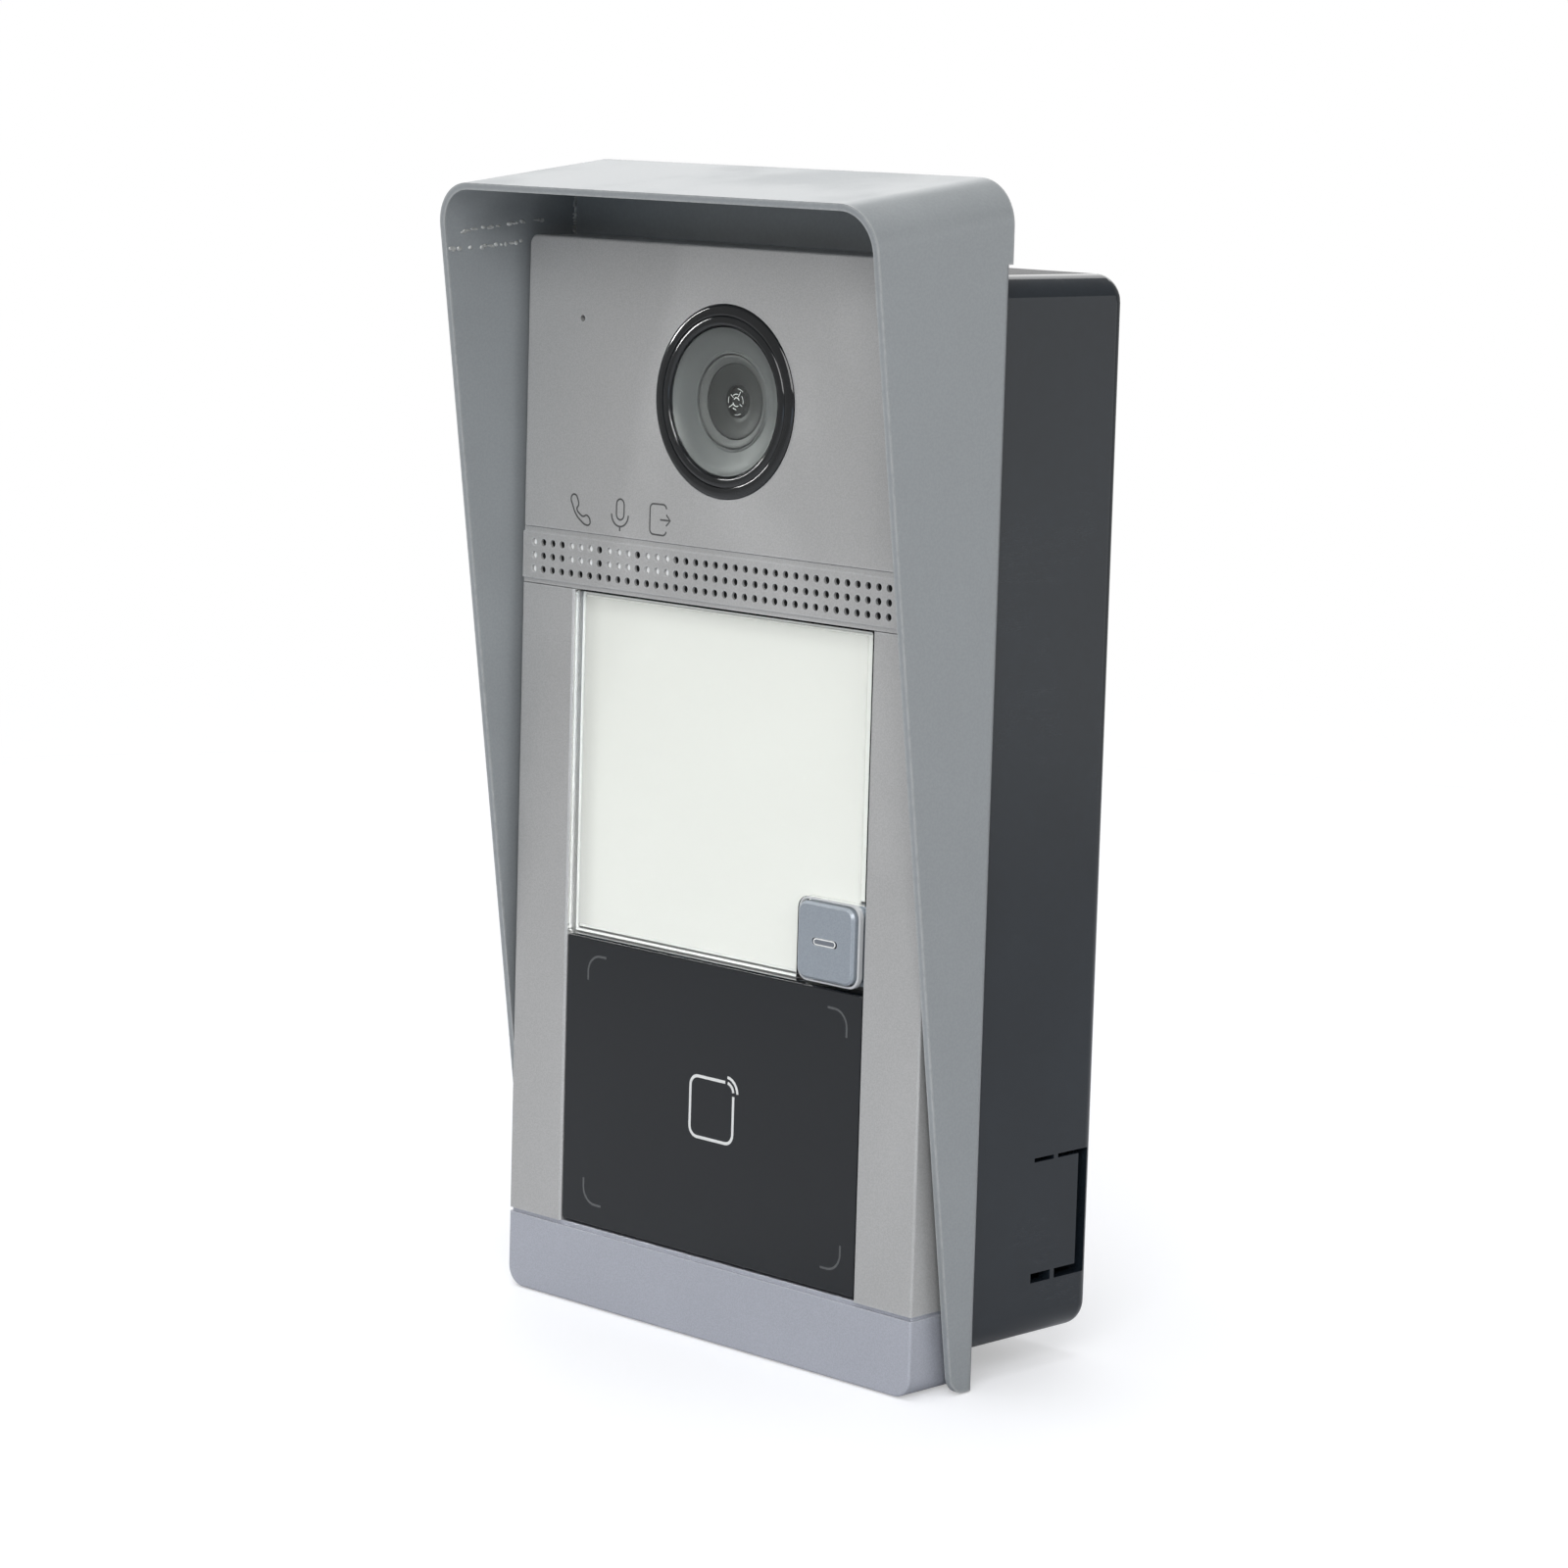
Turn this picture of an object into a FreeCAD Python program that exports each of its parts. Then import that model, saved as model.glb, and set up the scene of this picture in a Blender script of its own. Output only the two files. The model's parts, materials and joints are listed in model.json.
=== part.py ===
import FreeCAD, Part
import Sketcher
import math
import os
import re

# Video door station under a sheet-metal rain hood, on its flush wall box.
# Millimetres.  X runs to the right seen from the front, Z up, and the wall is on the +Y side.
# The origin is the centre of the wall box's flat rear face, so every depth is measured
# forwards from there, along -Y.

SIZES = {
    # wall box
    "box_width": 84.0, "box_height": 152.5, "box_depth": 26.5, "box_wall": 2.0,
    "box_corner": 4.0, "box_edge": 2.4,
    "post_x": 20.0, "post_z": 71.0, "post_radius": 3.5,
    "cable_hole_radius": 9.5, "cable_hole_z": -20.0,
    "wall_hole_x": 30.0, "wall_hole_z": 60.0, "wall_hole_radius": 2.2,
    "knockout_low": -67.7, "knockout_high": -49.4, "knockout_front": 13.3, "knockout_rear": 1.7,
    "knockout_bite": 0.5,
    "slot_thick_low": 1.4, "slot_thick_high": 0.6, "slot_thick_rear": 2.0,
    "bridge_rear": 8.2, "bridge_front": 9.1,
    "lug_width": 26.0, "lug_height": 0.8, "lug_rear": 17.0,
    # rain hood
    "gauge": 1.0, "hood_width": 87.5, "hood_rear_top": 89.7, "roof_fall": 0.128,
    "hood_foot_depth": 31.4, "hood_taper": 0.1386, "hood_reach": 60.0,
    "cap_low": 78.0, "hood_corner": 6.5, "hood_bend": 1.5, "foot_round": 3.0,
    "plate_window_width": 74.0, "plate_window_height": 135.6,
    # door station shells
    "station_width": 83.0, "station_height": 159.0, "station_low": -80.5,
    "shell_depth": 10.4, "skin": 1.5, "top_corner": 1.5, "bottom_corner": 3.0, "soft_edge": 0.4,
    "bar_top": 11.3, "frame_low": 11.9, "frame_top": 107.3,
    "strip_low": 107.4, "strip_top": 115.75, "field_low": 108.1, "field_top": 115.0,
    "field_rise": 0.25, "plate_low": 115.85,
    "grille_start": 39.1, "grille_pitch": 2.005, "grille_columns": 40, "grille_rows": 3,
    "grille_high": 113.55, "grille_hole": 0.55,
    # camera
    "camera_z": 56.5, "camera_radius": 13.85, "camera_flange": 15.6, "camera_rise": 0.6,
    "window_radius": 10.6, "barrel_radius": 6.7,
    # microphone
    "mic_x": -29.7, "mic_z": 66.7, "mic_hole": 0.5,
    # windows
    "opening_width": 60.6, "glazing_width": 60.3, "deck_front": 33.4, "deck_thick": 1.5,
    "cover_low": 56.0, "cover_top": 107.15, "cover_thick": 2.05, "cover_recess": 0.15,
    "reader_low": 12.35, "reader_top": 55.8, "reader_thick": 3.2, "reader_recess": 0.2,
    # call button
    "button_x": 23.3, "button_z": -18.1, "button_width": 10.9, "button_height": 11.0,
    "button_rise": 0.6, "button_gap": 0.2, "button_corner": 1.6, "bar_width": 4.9, "bar_height": 1.1,
    "button_travel": 0.9,
    # inner parts
    "tub_width": 72.0, "tub_height": 134.0, "tub_rear": 12.0, "tub_wall": 1.6,
    "tub_screw_x": 31.6, "tub_screw_z": 62.6,
    "bracket_thick": 1.2, "carrier_rear": 28.8, "carrier_front": 31.8,
    "speaker_x": 17.0, "speaker_z": 31.0,
    "tamper_x": 32.0, "tamper_z": 71.0,
    "lock_depth": 31.6,
    "screw_radius": 1.5,
    # how far a cut runs past the face it starts from
    "past": 1.0,
    # fixings of the wall box, the hood and the bracket
    "insert_radius": 2.2, "insert_length": 8.0, "insert_bore": 10.0, "roof_gap": 0.2,
    "roof_skirt": 12.0, "roof_hollow": 30.0, "roof_trim": 40.0, "roof_clear": 0.01,
    "bracket_half_x": 39.0, "bracket_half_z": 75.0, "bracket_inner_x": 36.8, "bracket_inner_z": 67.6,
    "screw_gap": 0.2, "hook_x": 12.0, "hook_half": 3.0, "hook_low": 72.5, "hook_reach": 2.3,
    "tab_half": 5.0, "tab_beyond": 2.4,
    "box_screw_bite": 7.5, "box_screw_head": 2.75, "box_screw_head_tall": 1.6,
    "cross_long": 1.6, "cross_wide": 0.35, "cross_floor": 0.7,
    "lock_radius": 1.25, "lock_head": 2.6, "lock_inset": 0.4, "lock_head_tall": 1.8, "lock_length": 6.8,
    "lock_socket": 1.2, "lock_socket_deep": 1.1,
    # carrier, frame and bottom cover
    "carrier_gap": 0.2, "well_half": 33.0, "well_low": -58.0, "well_top": 40.0,
    "notch_half": 6.0, "notch_top": -71.0, "tamper_bore": 1.58,
    "hook_slot_half": 4.0, "hook_slot_low": 71.8, "hook_slot_top": 74.6, "driver_hole": 3.4,
    "camera_gap": 0.1, "button_well": 3.6, "light_hole": 1.6, "inner_bevel": 0.25,
    "bar_lip": 0.1, "bar_clear": 0.3, "boss_half": 5.0, "boss_low": 0.2, "boss_top": 4.0,
    "boss_rear": 0.7, "boss_front": 1.0,
    "lock_bore": 1.5, "lock_bore_deep": 6.0, "lock_head_bore": 2.9, "lock_head_deep": 3.2,
    # rear cover
    "seal_thick": 0.6, "tub_post": 3.2, "tub_bore": 1.3, "tub_head_bore": 2.6, "tub_head_deep": 2.0,
    "port_half": 21.4, "port_low": -56.4, "port_top": -45.6,
    "tub_screw_head": 2.4, "tub_screw_inset": 0.4, "tub_screw_radius": 1.1, "tub_screw_short": 1.0,
    "tub_socket": 0.9, "tub_socket_deep": 1.3,
    # inside the camera
    "ledge_drop": 1.3, "flange_rear": 1.7, "flange_front": 0.4, "window_gap": 0.1, "ledge_width": 0.7,
    "bezel_round": 0.5, "bezel_bevel": 0.6, "window_thick": 1.2,
    "mask_gap": 0.2, "mask_inset": 0.8, "mask_thick": 2.4, "mask_bevel": 0.9,
    "barrel_rear": 22.5, "element_bore": 5.5, "element_rear": 33.0, "element_front": 34.35,
    "element_radius": 5.3, "stop_radius": 2.6, "retainer_front": 35.6, "lens_bevel": 1.1,
    "holder_half": 8.5, "holder_rear": 21.0, "holder_front": 30.0, "chip_well": 4.6,
    "sensor_board_rear": 19.8, "chip_half": 3.8, "chip_front": 21.9,
    # microphone and speaker
    "boot_radius": 3.4, "board_gap": 0.1, "mic_bore": 2.05, "mic_bore_deep": 3.0,
    "mic_radius": 2.0, "mic_rear": 0.3, "mic_front": 2.9,
    "membrane_left": -8.6, "membrane_right": 39.2, "membrane_rear": 0.6, "membrane_front": 0.2,
    "speaker_half_x": 14.0, "speaker_half_z": 7.5, "speaker_rear": 26.0, "speaker_front": 31.4,
    "speaker_corner": 5.0, "basket_half_x": 10.0, "basket_half_z": 5.5, "basket_floor": 27.0,
    "magnet_radius": 6.4, "magnet_rear": 21.5, "cone_half_x": 9.8, "cone_half_z": 5.3,
    "cone_rear": 29.4, "cone_front": 29.8, "dome_radius": 4.0, "dome_front": 30.9, "dome_round": 1.0,
    # lit windows
    "pipe_margin": 0.8, "pipe_bar_columns": 14.4, "pipe_bar_gap": 0.3, "pipe_rear": 33.3,
    "pipe_bar_front": 34.2, "pipe_gap": 0.06, "pipe_inset": 0.5,
    "notch_margin": 0.9, "button_near": 6.0, "long_edge": 15.0, "glass_bevel": 0.35,
    "card_gap": 0.1, "card_thick": 0.4, "guide_gap": 0.6, "guide_thick": 1.6,
    "card_side": 0.75, "card_low": 0.8, "card_top": 0.65,
    "antenna_half": 28.0, "antenna_low": 15.0, "antenna_top": 53.0, "antenna_thick": 0.8,
    "coil_turns": 4, "coil_half": 27.0, "coil_pitch": 1.6, "coil_low": 16.0, "coil_top": 52.0,
    "coil_thick": 0.1, "coil_wide": 0.8,
    # inside the call button
    "button_web": 1.6, "button_rear": 34.6, "lip_out": 0.5, "lip_below": 0.4, "lip_rear": 34.5,
    "lip_front": 35.4, "button_hollow": 4.3, "stem_radius": 1.6, "stem_rear": 32.9,
    "bar_gap": 0.02, "bar_flat": 0.05, "bar_recess": 0.15, "button_bevel": 0.35,
    "plunger_radius": 1.4, "plunger_rear": 31.7, "switch_half": 3.0, "switch_front": 31.8,
    "switch_bore": 1.5, "switch_floor": 30.7,
    # boards, terminals and tamper contact
    "button_board_half": 31.0, "button_board_low": -24.0, "button_board_top": 21.0,
    "button_board_rear": 29.2, "button_board_front": 30.4, "lamp_half": 0.8, "lamp_front": 31.2,
    "indicator_left": -39.5, "indicator_right": -9.0, "indicator_gap": 0.5, "indicator_thick": 1.0,
    "main_half_x": 33.5, "main_half_z": 58.0, "main_rear": 16.0, "main_front": 17.6,
    "shield_left": -21.0, "shield_right": 5.0, "shield_low": -25.0, "shield_top": 1.0,
    "shield_front": 20.4, "shield_wall": 0.2,
    "terminal_ways": 8, "terminal_first": -17.5, "terminal_pitch": 5.0, "terminal_half": 21.0,
    "terminal_low": -56.0, "terminal_top": -46.0, "terminal_rear": 9.4,
    "wire_hole": 1.5, "wire_z": -53.4, "wire_front": 13.5,
    "terminal_screw": 1.4, "terminal_screw_z": -48.6, "terminal_screw_rear": 9.7,
    "terminal_screw_front": 11.2, "slot_long": 1.5, "slot_half": 0.25, "slot_deep": 0.5,
    "tamper_radius": 1.5, "tamper_gap": 0.05, "tamper_front": 32.9, "tamper_collar": 2.2,
    "tamper_collar_rear": 32.1, "tamper_switch_x": 3.2, "tamper_switch_z": 2.0,
    "tamper_switch_rear": 33.7, "tamper_switch_front": 36.2,
}
NEAR = 0.01     # two places closer than this count as one
ROUGHLY = 0.05  # the same, for edges that a fillet has moved

doc = FreeCAD.newDocument("VideoDoorStation")
sheet = doc.addObject("Spreadsheet::Sheet", "Sizes")
for row, (alias, value) in enumerate(SIZES.items(), 1):
    sheet.set(f"A{row}", alias)
    sheet.set(f"B{row}", str(value))
    sheet.setAlias(f"B{row}", alias)
doc.recompute()

# Depths that many pieces share, as expressions on the sheet.
SEAT = "(box_depth + gauge)"              # front of the hood's back plate: the station sits on it
FACE = "(box_depth + gauge + shell_depth)"  # front face of the station
TOP = "(station_low + station_height)"
parts = []


def bind(thing, setting, text):
    """Ties a setting to an expression written in the sheet's own aliases."""
    thing.setExpression(setting, re.sub("[a-z_]+", r"Sizes.\g<0>", text))


def body(label):
    piece = doc.addObject("PartDesign::Body", label)
    piece.Label = label
    piece.AllowCompound = True
    parts.append(piece)
    return piece


def sketch(piece, role, offset):
    new = piece.newObject("Sketcher::SketchObject", piece.Name + "_sketch")
    plane = next(f for f in piece.Origin.OriginFeatures if f.Role == role)
    new.AttachmentSupport = (plane, [""])
    new.MapMode = "FlatFace"
    bind(new, "AttachmentOffset.Base.z", offset)
    return new


def pin(drawing, item, point, x, y):
    """Holds one point of a sketch at x, y from the sketch's origin."""
    for kind, place in (("DistanceX", x), ("DistanceY", y)):
        number = drawing.addConstraint(Sketcher.Constraint(kind, -1, 1, item, point, 1.0))
        bind(drawing, f"Constraints[{number}]", place)


def outline(piece, corners, offset, role="XZ_Plane"):
    """A closed polygon with each corner at its own pair of expressions."""
    drawing = sketch(piece, role, offset)
    count = len(corners)
    rough = [FreeCAD.Vector(math.cos(turn * math.tau / count), math.sin(turn * math.tau / count), 0)
             for turn in range(count)]
    for number in range(count):
        drawing.addGeometry(Part.LineSegment(rough[number], rough[(number + 1) % count]), False)
    for number, (x, y) in enumerate(corners):
        drawing.addConstraint(Sketcher.Constraint("Coincident", number, 2, (number + 1) % count, 1))
        pin(drawing, number, 1, x, y)
    return drawing


def circle(piece, radius, x, y, offset, role="XZ_Plane"):
    drawing = sketch(piece, role, offset)
    drawing.addGeometry(Part.Circle(FreeCAD.Vector(1, 1, 0), FreeCAD.Vector(0, 0, 1), 1), False)
    pin(drawing, 0, 3, x, y)
    number = drawing.addConstraint(Sketcher.Constraint("Radius", 0, 1.0))
    bind(drawing, f"Constraints[{number}]", radius)
    return drawing


def feature(piece, kind, drawing, length):
    new = piece.newObject("PartDesign::" + kind, piece.Name + "_" + kind.lower())
    new.Profile = drawing
    bind(new, "Length", length)
    drawing.Visibility = False
    return new


def corners(left, right, low, high):
    return [(left, low), (right, low), (right, high), (left, high)]


def add_block(piece, left, right, low, high, rear, front):
    return feature(piece, "Pad", outline(piece, corners(left, right, low, high), rear),
                   f"({front}) - ({rear})")


def cut_block(piece, left, right, low, high, rear, front):
    return feature(piece, "Pocket", outline(piece, corners(left, right, low, high), front),
                   f"({front}) - ({rear})")


def add_disc(piece, radius, x, z, rear, front):
    return feature(piece, "Pad", circle(piece, radius, x, z, rear), f"({front}) - ({rear})")


def cut_disc(piece, radius, x, z, rear, front):
    return feature(piece, "Pocket", circle(piece, radius, x, z, front), f"({front}) - ({rear})")


def dress(piece, kind, size, test):
    """A fillet or chamfer on the edges of the piece for which test(edge) holds."""
    doc.recompute()
    base = piece.Tip
    chosen = [f"Edge{number}" for number, edge in enumerate(base.Shape.Edges, 1) if test(edge)]
    if not chosen:
        raise ValueError(piece.Label + ": no edge to " + kind)
    new = piece.newObject("PartDesign::" + kind, piece.Name + "_" + kind.lower())
    new.Base = (base, chosen)
    bind(new, "Radius" if kind == "Fillet" else "Size", size)
    return new


def size(alias):
    return SIZES[alias]


def middle(edge):
    return edge.valueAt((edge.FirstParameter + edge.LastParameter) / 2)


def runs_along(edge, axis):
    """True for a straight edge parallel to the named axis."""
    if edge.Curve.TypeId != "Part::GeomLine":
        return False
    return abs(getattr(edge.tangentAt(edge.FirstParameter), axis)) > 0.99


def lies_at(edge, depth):
    """True when the whole edge lies in the plane at this depth."""
    return abs(edge.BoundBox.YMin + depth) < NEAR and abs(edge.BoundBox.YMax + depth) < NEAR


face_depth = size("box_depth") + size("gauge") + size("shell_depth")
seat_depth = size("box_depth") + size("gauge")
half_width = size("station_width") / 2
both_sides = (-1, 1)
four_corners = [(x, z) for x in both_sides for z in both_sides]


def front_rim(edge):
    """The outer boundary of the station's front face."""
    place = middle(edge)
    at_side = abs(abs(place.x) - half_width) < NEAR
    at_end = abs(place.z - size("station_low")) < NEAR
    at_end = at_end or abs(place.z - size("station_low") - size("station_height")) < NEAR
    in_corner = edge.Curve.TypeId == "Part::GeomCircle" and edge.Curve.Radius > size("mic_hole") * 2
    in_corner = in_corner and edge.Curve.Radius < size("camera_radius")
    return lies_at(edge, face_depth) and (at_side or at_end or in_corner)


# ---- wall box -------------------------------------------------------------------------------

def wall_box():
    piece = body("wall_box")
    add_block(piece, "-box_width / 2", "box_width / 2", "-box_height / 2", "box_height / 2",
              "0 * box_depth", "box_depth")
    dress(piece, "Fillet", "box_corner", lambda edge: runs_along(edge, "y"))
    dress(piece, "Fillet", "box_edge", lambda edge: lies_at(edge, 0))
    cut_block(piece, "-box_width / 2 + box_wall", "box_width / 2 - box_wall",
              "-box_height / 2 + box_wall", "box_height / 2 - box_wall", "box_wall", "box_depth")
    for x, z in four_corners:
        add_disc(piece, "post_radius", f"{x} * post_x", f"{z} * post_z", "box_wall", "box_depth")
    for x, z in four_corners:
        cut_disc(piece, "insert_radius", f"{x} * post_x", f"{z} * post_z",
                 "box_depth - insert_bore", "box_depth")
        cut_disc(piece, "wall_hole_radius", f"{x} * wall_hole_x", f"{z} * wall_hole_z",
                 "-past", "box_wall + past")
    cut_disc(piece, "cable_hole_radius", "0", "cable_hole_z", "-past", "box_wall + past")
    add_block(piece, "-lug_width / 2", "lug_width / 2", "box_height / 2 - past",
              "box_height / 2 + lug_height", "lug_rear", "box_depth")
    # A knock-out in each side: a slot on three sides of a tab, with a bridge left in two of them.
    for side in both_sides:
        inner = f"{side} * (box_width / 2 - box_wall - knockout_bite)"
        outer = f"{side} * (box_width / 2 + past)"
        left, right = (inner, outer) if side > 0 else (outer, inner)
        for rear, front in (("knockout_rear", "bridge_rear"), ("bridge_front", "knockout_front")):
            cut_block(piece, left, right, "knockout_low", "knockout_low + slot_thick_low", rear, front)
            cut_block(piece, left, right, "knockout_high - slot_thick_high", "knockout_high",
                      rear, front)
        cut_block(piece, left, right, "knockout_low + slot_thick_low",
                  "knockout_high - slot_thick_high", "knockout_rear", "knockout_rear + slot_thick_rear")


def box_inserts():
    piece = body("box_inserts")
    for x, z in four_corners:
        add_disc(piece, "insert_radius", f"{x} * post_x", f"{z} * post_z",
                 "box_depth - insert_length", "box_depth")
    for x, z in four_corners:
        cut_disc(piece, "screw_radius", f"{x} * post_x", f"{z} * post_z",
                 "box_depth - insert_length - past", "box_depth + past")


# ---- rain hood ------------------------------------------------------------------------------

def trim_front(piece, low):
    """Cuts the cheeks to their slanting front edge, above the given height."""
    def slant(height):
        return f"-(hood_foot_depth + hood_taper * ({height} - station_low))"
    far = "-2 * hood_reach"
    high = "2 * hood_rear_top"
    wedge = outline(piece, [(slant(low), low), (far, low), (far, high), (slant(high), high)],
                    "-hood_width", "YZ_Plane")
    feature(piece, "Pocket", wedge, "2 * hood_width").Reversed = True


def hood_body():
    piece = body("hood_body")
    half = size("hood_width") / 2
    add_block(piece, "-hood_width / 2", "hood_width / 2", "station_low", "cap_low",
              "box_depth", "hood_reach")
    dress(piece, "Fillet", "hood_bend",
          lambda edge: runs_along(edge, "z") and abs(middle(edge).y + size("box_depth")) < NEAR)
    cut_block(piece, "-hood_width / 2 + gauge", "hood_width / 2 - gauge",
              "station_low - past", "cap_low + past", SEAT, "hood_reach + past")
    dress(piece, "Fillet", "hood_bend - gauge",
          lambda edge: runs_along(edge, "z") and abs(middle(edge).y + seat_depth) < NEAR
          and abs(middle(edge).x) < half)
    trim_front(piece, "station_low")
    dress(piece, "Fillet", "foot_round",
          lambda edge: runs_along(edge, "x") and abs(middle(edge).z - size("station_low")) < NEAR
          and abs(middle(edge).y + size("hood_foot_depth")) < NEAR)
    # The back plate runs on up behind the cap.
    add_block(piece, "-hood_width / 2 + gauge", "hood_width / 2 - gauge", "cap_low - past",
              "hood_rear_top - gauge - roof_gap", "box_depth", SEAT)
    dress(piece, "Fillet", "hood_corner - gauge",
          lambda edge: runs_along(edge, "y") and middle(edge).z > size("cap_low") + size("hood_corner"))
    cut_block(piece, "-plate_window_width / 2", "plate_window_width / 2",
              "-plate_window_height / 2", "plate_window_height / 2", "box_depth - past", f"{SEAT} + past")
    for x, z in four_corners:
        cut_disc(piece, "screw_radius + screw_gap", f"{x} * post_x", f"{z} * post_z",
                 "box_depth - past", f"{SEAT} + past")


def hood_roof():
    """The welded cap: an inverted trough that falls towards the front."""
    piece = body("hood_roof")
    fall = size("roof_fall")
    shell = add_block(piece, "-hood_width / 2", "hood_width / 2", "cap_low - roof_skirt", "hood_rear_top",
                      "box_depth", "hood_reach")
    shell.UseCustomVector = True
    shell.Direction = FreeCAD.Vector(0, -1, -fall)
    shell.AlongSketchNormal = True
    hollow = cut_block(piece, "-hood_width / 2 + gauge", "hood_width / 2 - gauge",
                       "cap_low - roof_hollow - roof_fall * (hood_reach - box_depth)",
                       "hood_rear_top - gauge - roof_clear - roof_fall * (hood_reach - box_depth)",
                       "box_depth", "hood_reach")
    hollow.UseCustomVector = True
    hollow.Direction = FreeCAD.Vector(0, 1, fall)
    hollow.AlongSketchNormal = True
    outer = size("hood_width") / 2
    for half, radius in ((outer - size("gauge"), "hood_corner - gauge"), (outer, "hood_corner")):
        dress(piece, "Fillet", radius,
              lambda edge: edge.Curve.TypeId == "Part::GeomLine" and edge.BoundBox.YLength > size("gauge")
              and abs(abs(middle(edge).x) - half) < NEAR and middle(edge).z > size("cap_low"))
    trim_front(piece, "cap_low - roof_hollow")
    cut_block(piece, "-hood_width", "hood_width", "cap_low - roof_trim", "cap_low",
              "box_depth - past", "2 * hood_reach")


# ---- bracket and screws ---------------------------------------------------------------------

def mounting_bracket():
    piece = body("mounting_bracket")
    front = f"{SEAT} + bracket_thick"
    add_block(piece, "-bracket_half_x", "bracket_half_x", "-bracket_half_z", "bracket_half_z",
              SEAT, front)
    cut_block(piece, "-bracket_inner_x", "bracket_inner_x", "-bracket_inner_z", "bracket_inner_z",
              f"{SEAT} - past", f"{front} + past")
    for x, z in four_corners:
        cut_disc(piece, "screw_radius + screw_gap", f"{x} * post_x", f"{z} * post_z",
                 f"{SEAT} - past", f"{front} + past")
    for side in both_sides:   # the two hooks that the station hangs on
        add_block(piece, f"{side} * hook_x - hook_half", f"{side} * hook_x + hook_half",
                  "hook_low", "hook_low + bracket_thick", front, f"{front} + hook_reach")
    tab_top = "-bracket_half_z + bracket_thick"
    add_block(piece, "-tab_half", "tab_half", "-bracket_half_z", tab_top, front, "lock_depth + tab_beyond")
    hole = circle(piece, "lock_radius", "0", "-lock_depth", tab_top, "XY_Plane")
    feature(piece, "Pocket", hole, "bracket_thick")


def box_screws():
    piece = body("box_screws")
    seat = f"({SEAT} + bracket_thick)"
    for x, z in four_corners:
        place = (f"{x} * post_x", f"{z} * post_z")
        add_disc(piece, "screw_radius", *place, "box_depth - box_screw_bite", seat)
        add_disc(piece, "box_screw_head", *place, seat, f"{seat} + box_screw_head_tall")
    for x, z in four_corners:
        for wide, tall in (("cross_long", "cross_wide"), ("cross_wide", "cross_long")):
            cut_block(piece, f"{x} * post_x - {wide}", f"{x} * post_x + {wide}",
                      f"{z} * post_z - {tall}", f"{z} * post_z + {tall}",
                      f"{seat} + cross_floor", f"{seat} + box_screw_head_tall")


def lock_screw():
    """Runs up through the bottom cover into the bracket's tab."""
    piece = body("lock_screw")
    under = "(station_low + lock_inset)"
    neck = f"{under} + lock_head_tall"
    feature(piece, "Pad", circle(piece, "lock_head", "0", "-lock_depth", under, "XY_Plane"),
            "lock_head_tall")
    feature(piece, "Pad", circle(piece, "lock_radius", "0", "-lock_depth", neck, "XY_Plane"), "lock_length")
    socket = circle(piece, "lock_socket", "0", "-lock_depth", under, "XY_Plane")
    feature(piece, "Pocket", socket, "lock_socket_deep").Reversed = True


# ---- station shells -------------------------------------------------------------------------

def front_carrier():
    """The moulding inside the shells that everything is fixed to."""
    piece = body("front_carrier")
    half = "(station_width / 2 - skin - carrier_gap)"
    add_block(piece, f"-{half}", half, "station_low + skin + carrier_gap",
              f"{TOP} - skin - carrier_gap", "carrier_rear", "carrier_front")
    behind, ahead = "carrier_rear - past", "carrier_front + past"
    cut_block(piece, "-well_half", "well_half", "well_low", "well_top", behind, ahead)
    cut_disc(piece, "camera_flange + carrier_gap", "0", "camera_z", behind, ahead)
    cut_block(piece, "-notch_half", "notch_half", "station_low", "notch_top", behind, ahead)
    cut_disc(piece, "tamper_bore", "tamper_x", "tamper_z", behind, ahead)
    for side in both_sides:
        cut_block(piece, f"{side} * hook_x - hook_slot_half", f"{side} * hook_x + hook_slot_half",
                  "hook_slot_low", "hook_slot_top", behind, ahead)
    for x, z in four_corners:
        cut_disc(piece, "driver_hole", f"{x} * post_x", f"{z} * post_z", behind, ahead)
        cut_disc(piece, "tub_screw_radius", f"{x} * tub_screw_x", f"{z} * tub_screw_z",
                 behind, ahead)


def top_plate():
    piece = body("top_plate")
    low = "station_low + plate_low"
    add_block(piece, "-station_width / 2", "station_width / 2", low, TOP, SEAT, FACE)
    top = size("station_low") + size("station_height")
    dress(piece, "Fillet", "top_corner",
          lambda edge: runs_along(edge, "y") and abs(middle(edge).z - top) < NEAR)
    cut_block(piece, "-station_width / 2 + skin", "station_width / 2 - skin", f"{low} - past",
              f"{TOP} - skin", SEAT, f"{FACE} - skin")
    cut_disc(piece, "camera_radius + camera_gap", "0", "camera_z", f"{FACE} - skin - past", f"{FACE} + past")
    cut_disc(piece, "mic_hole", "mic_x", "mic_z", f"{FACE} - skin - past", f"{FACE} + past")
    dress(piece, "Fillet", "soft_edge", front_rim)


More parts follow.
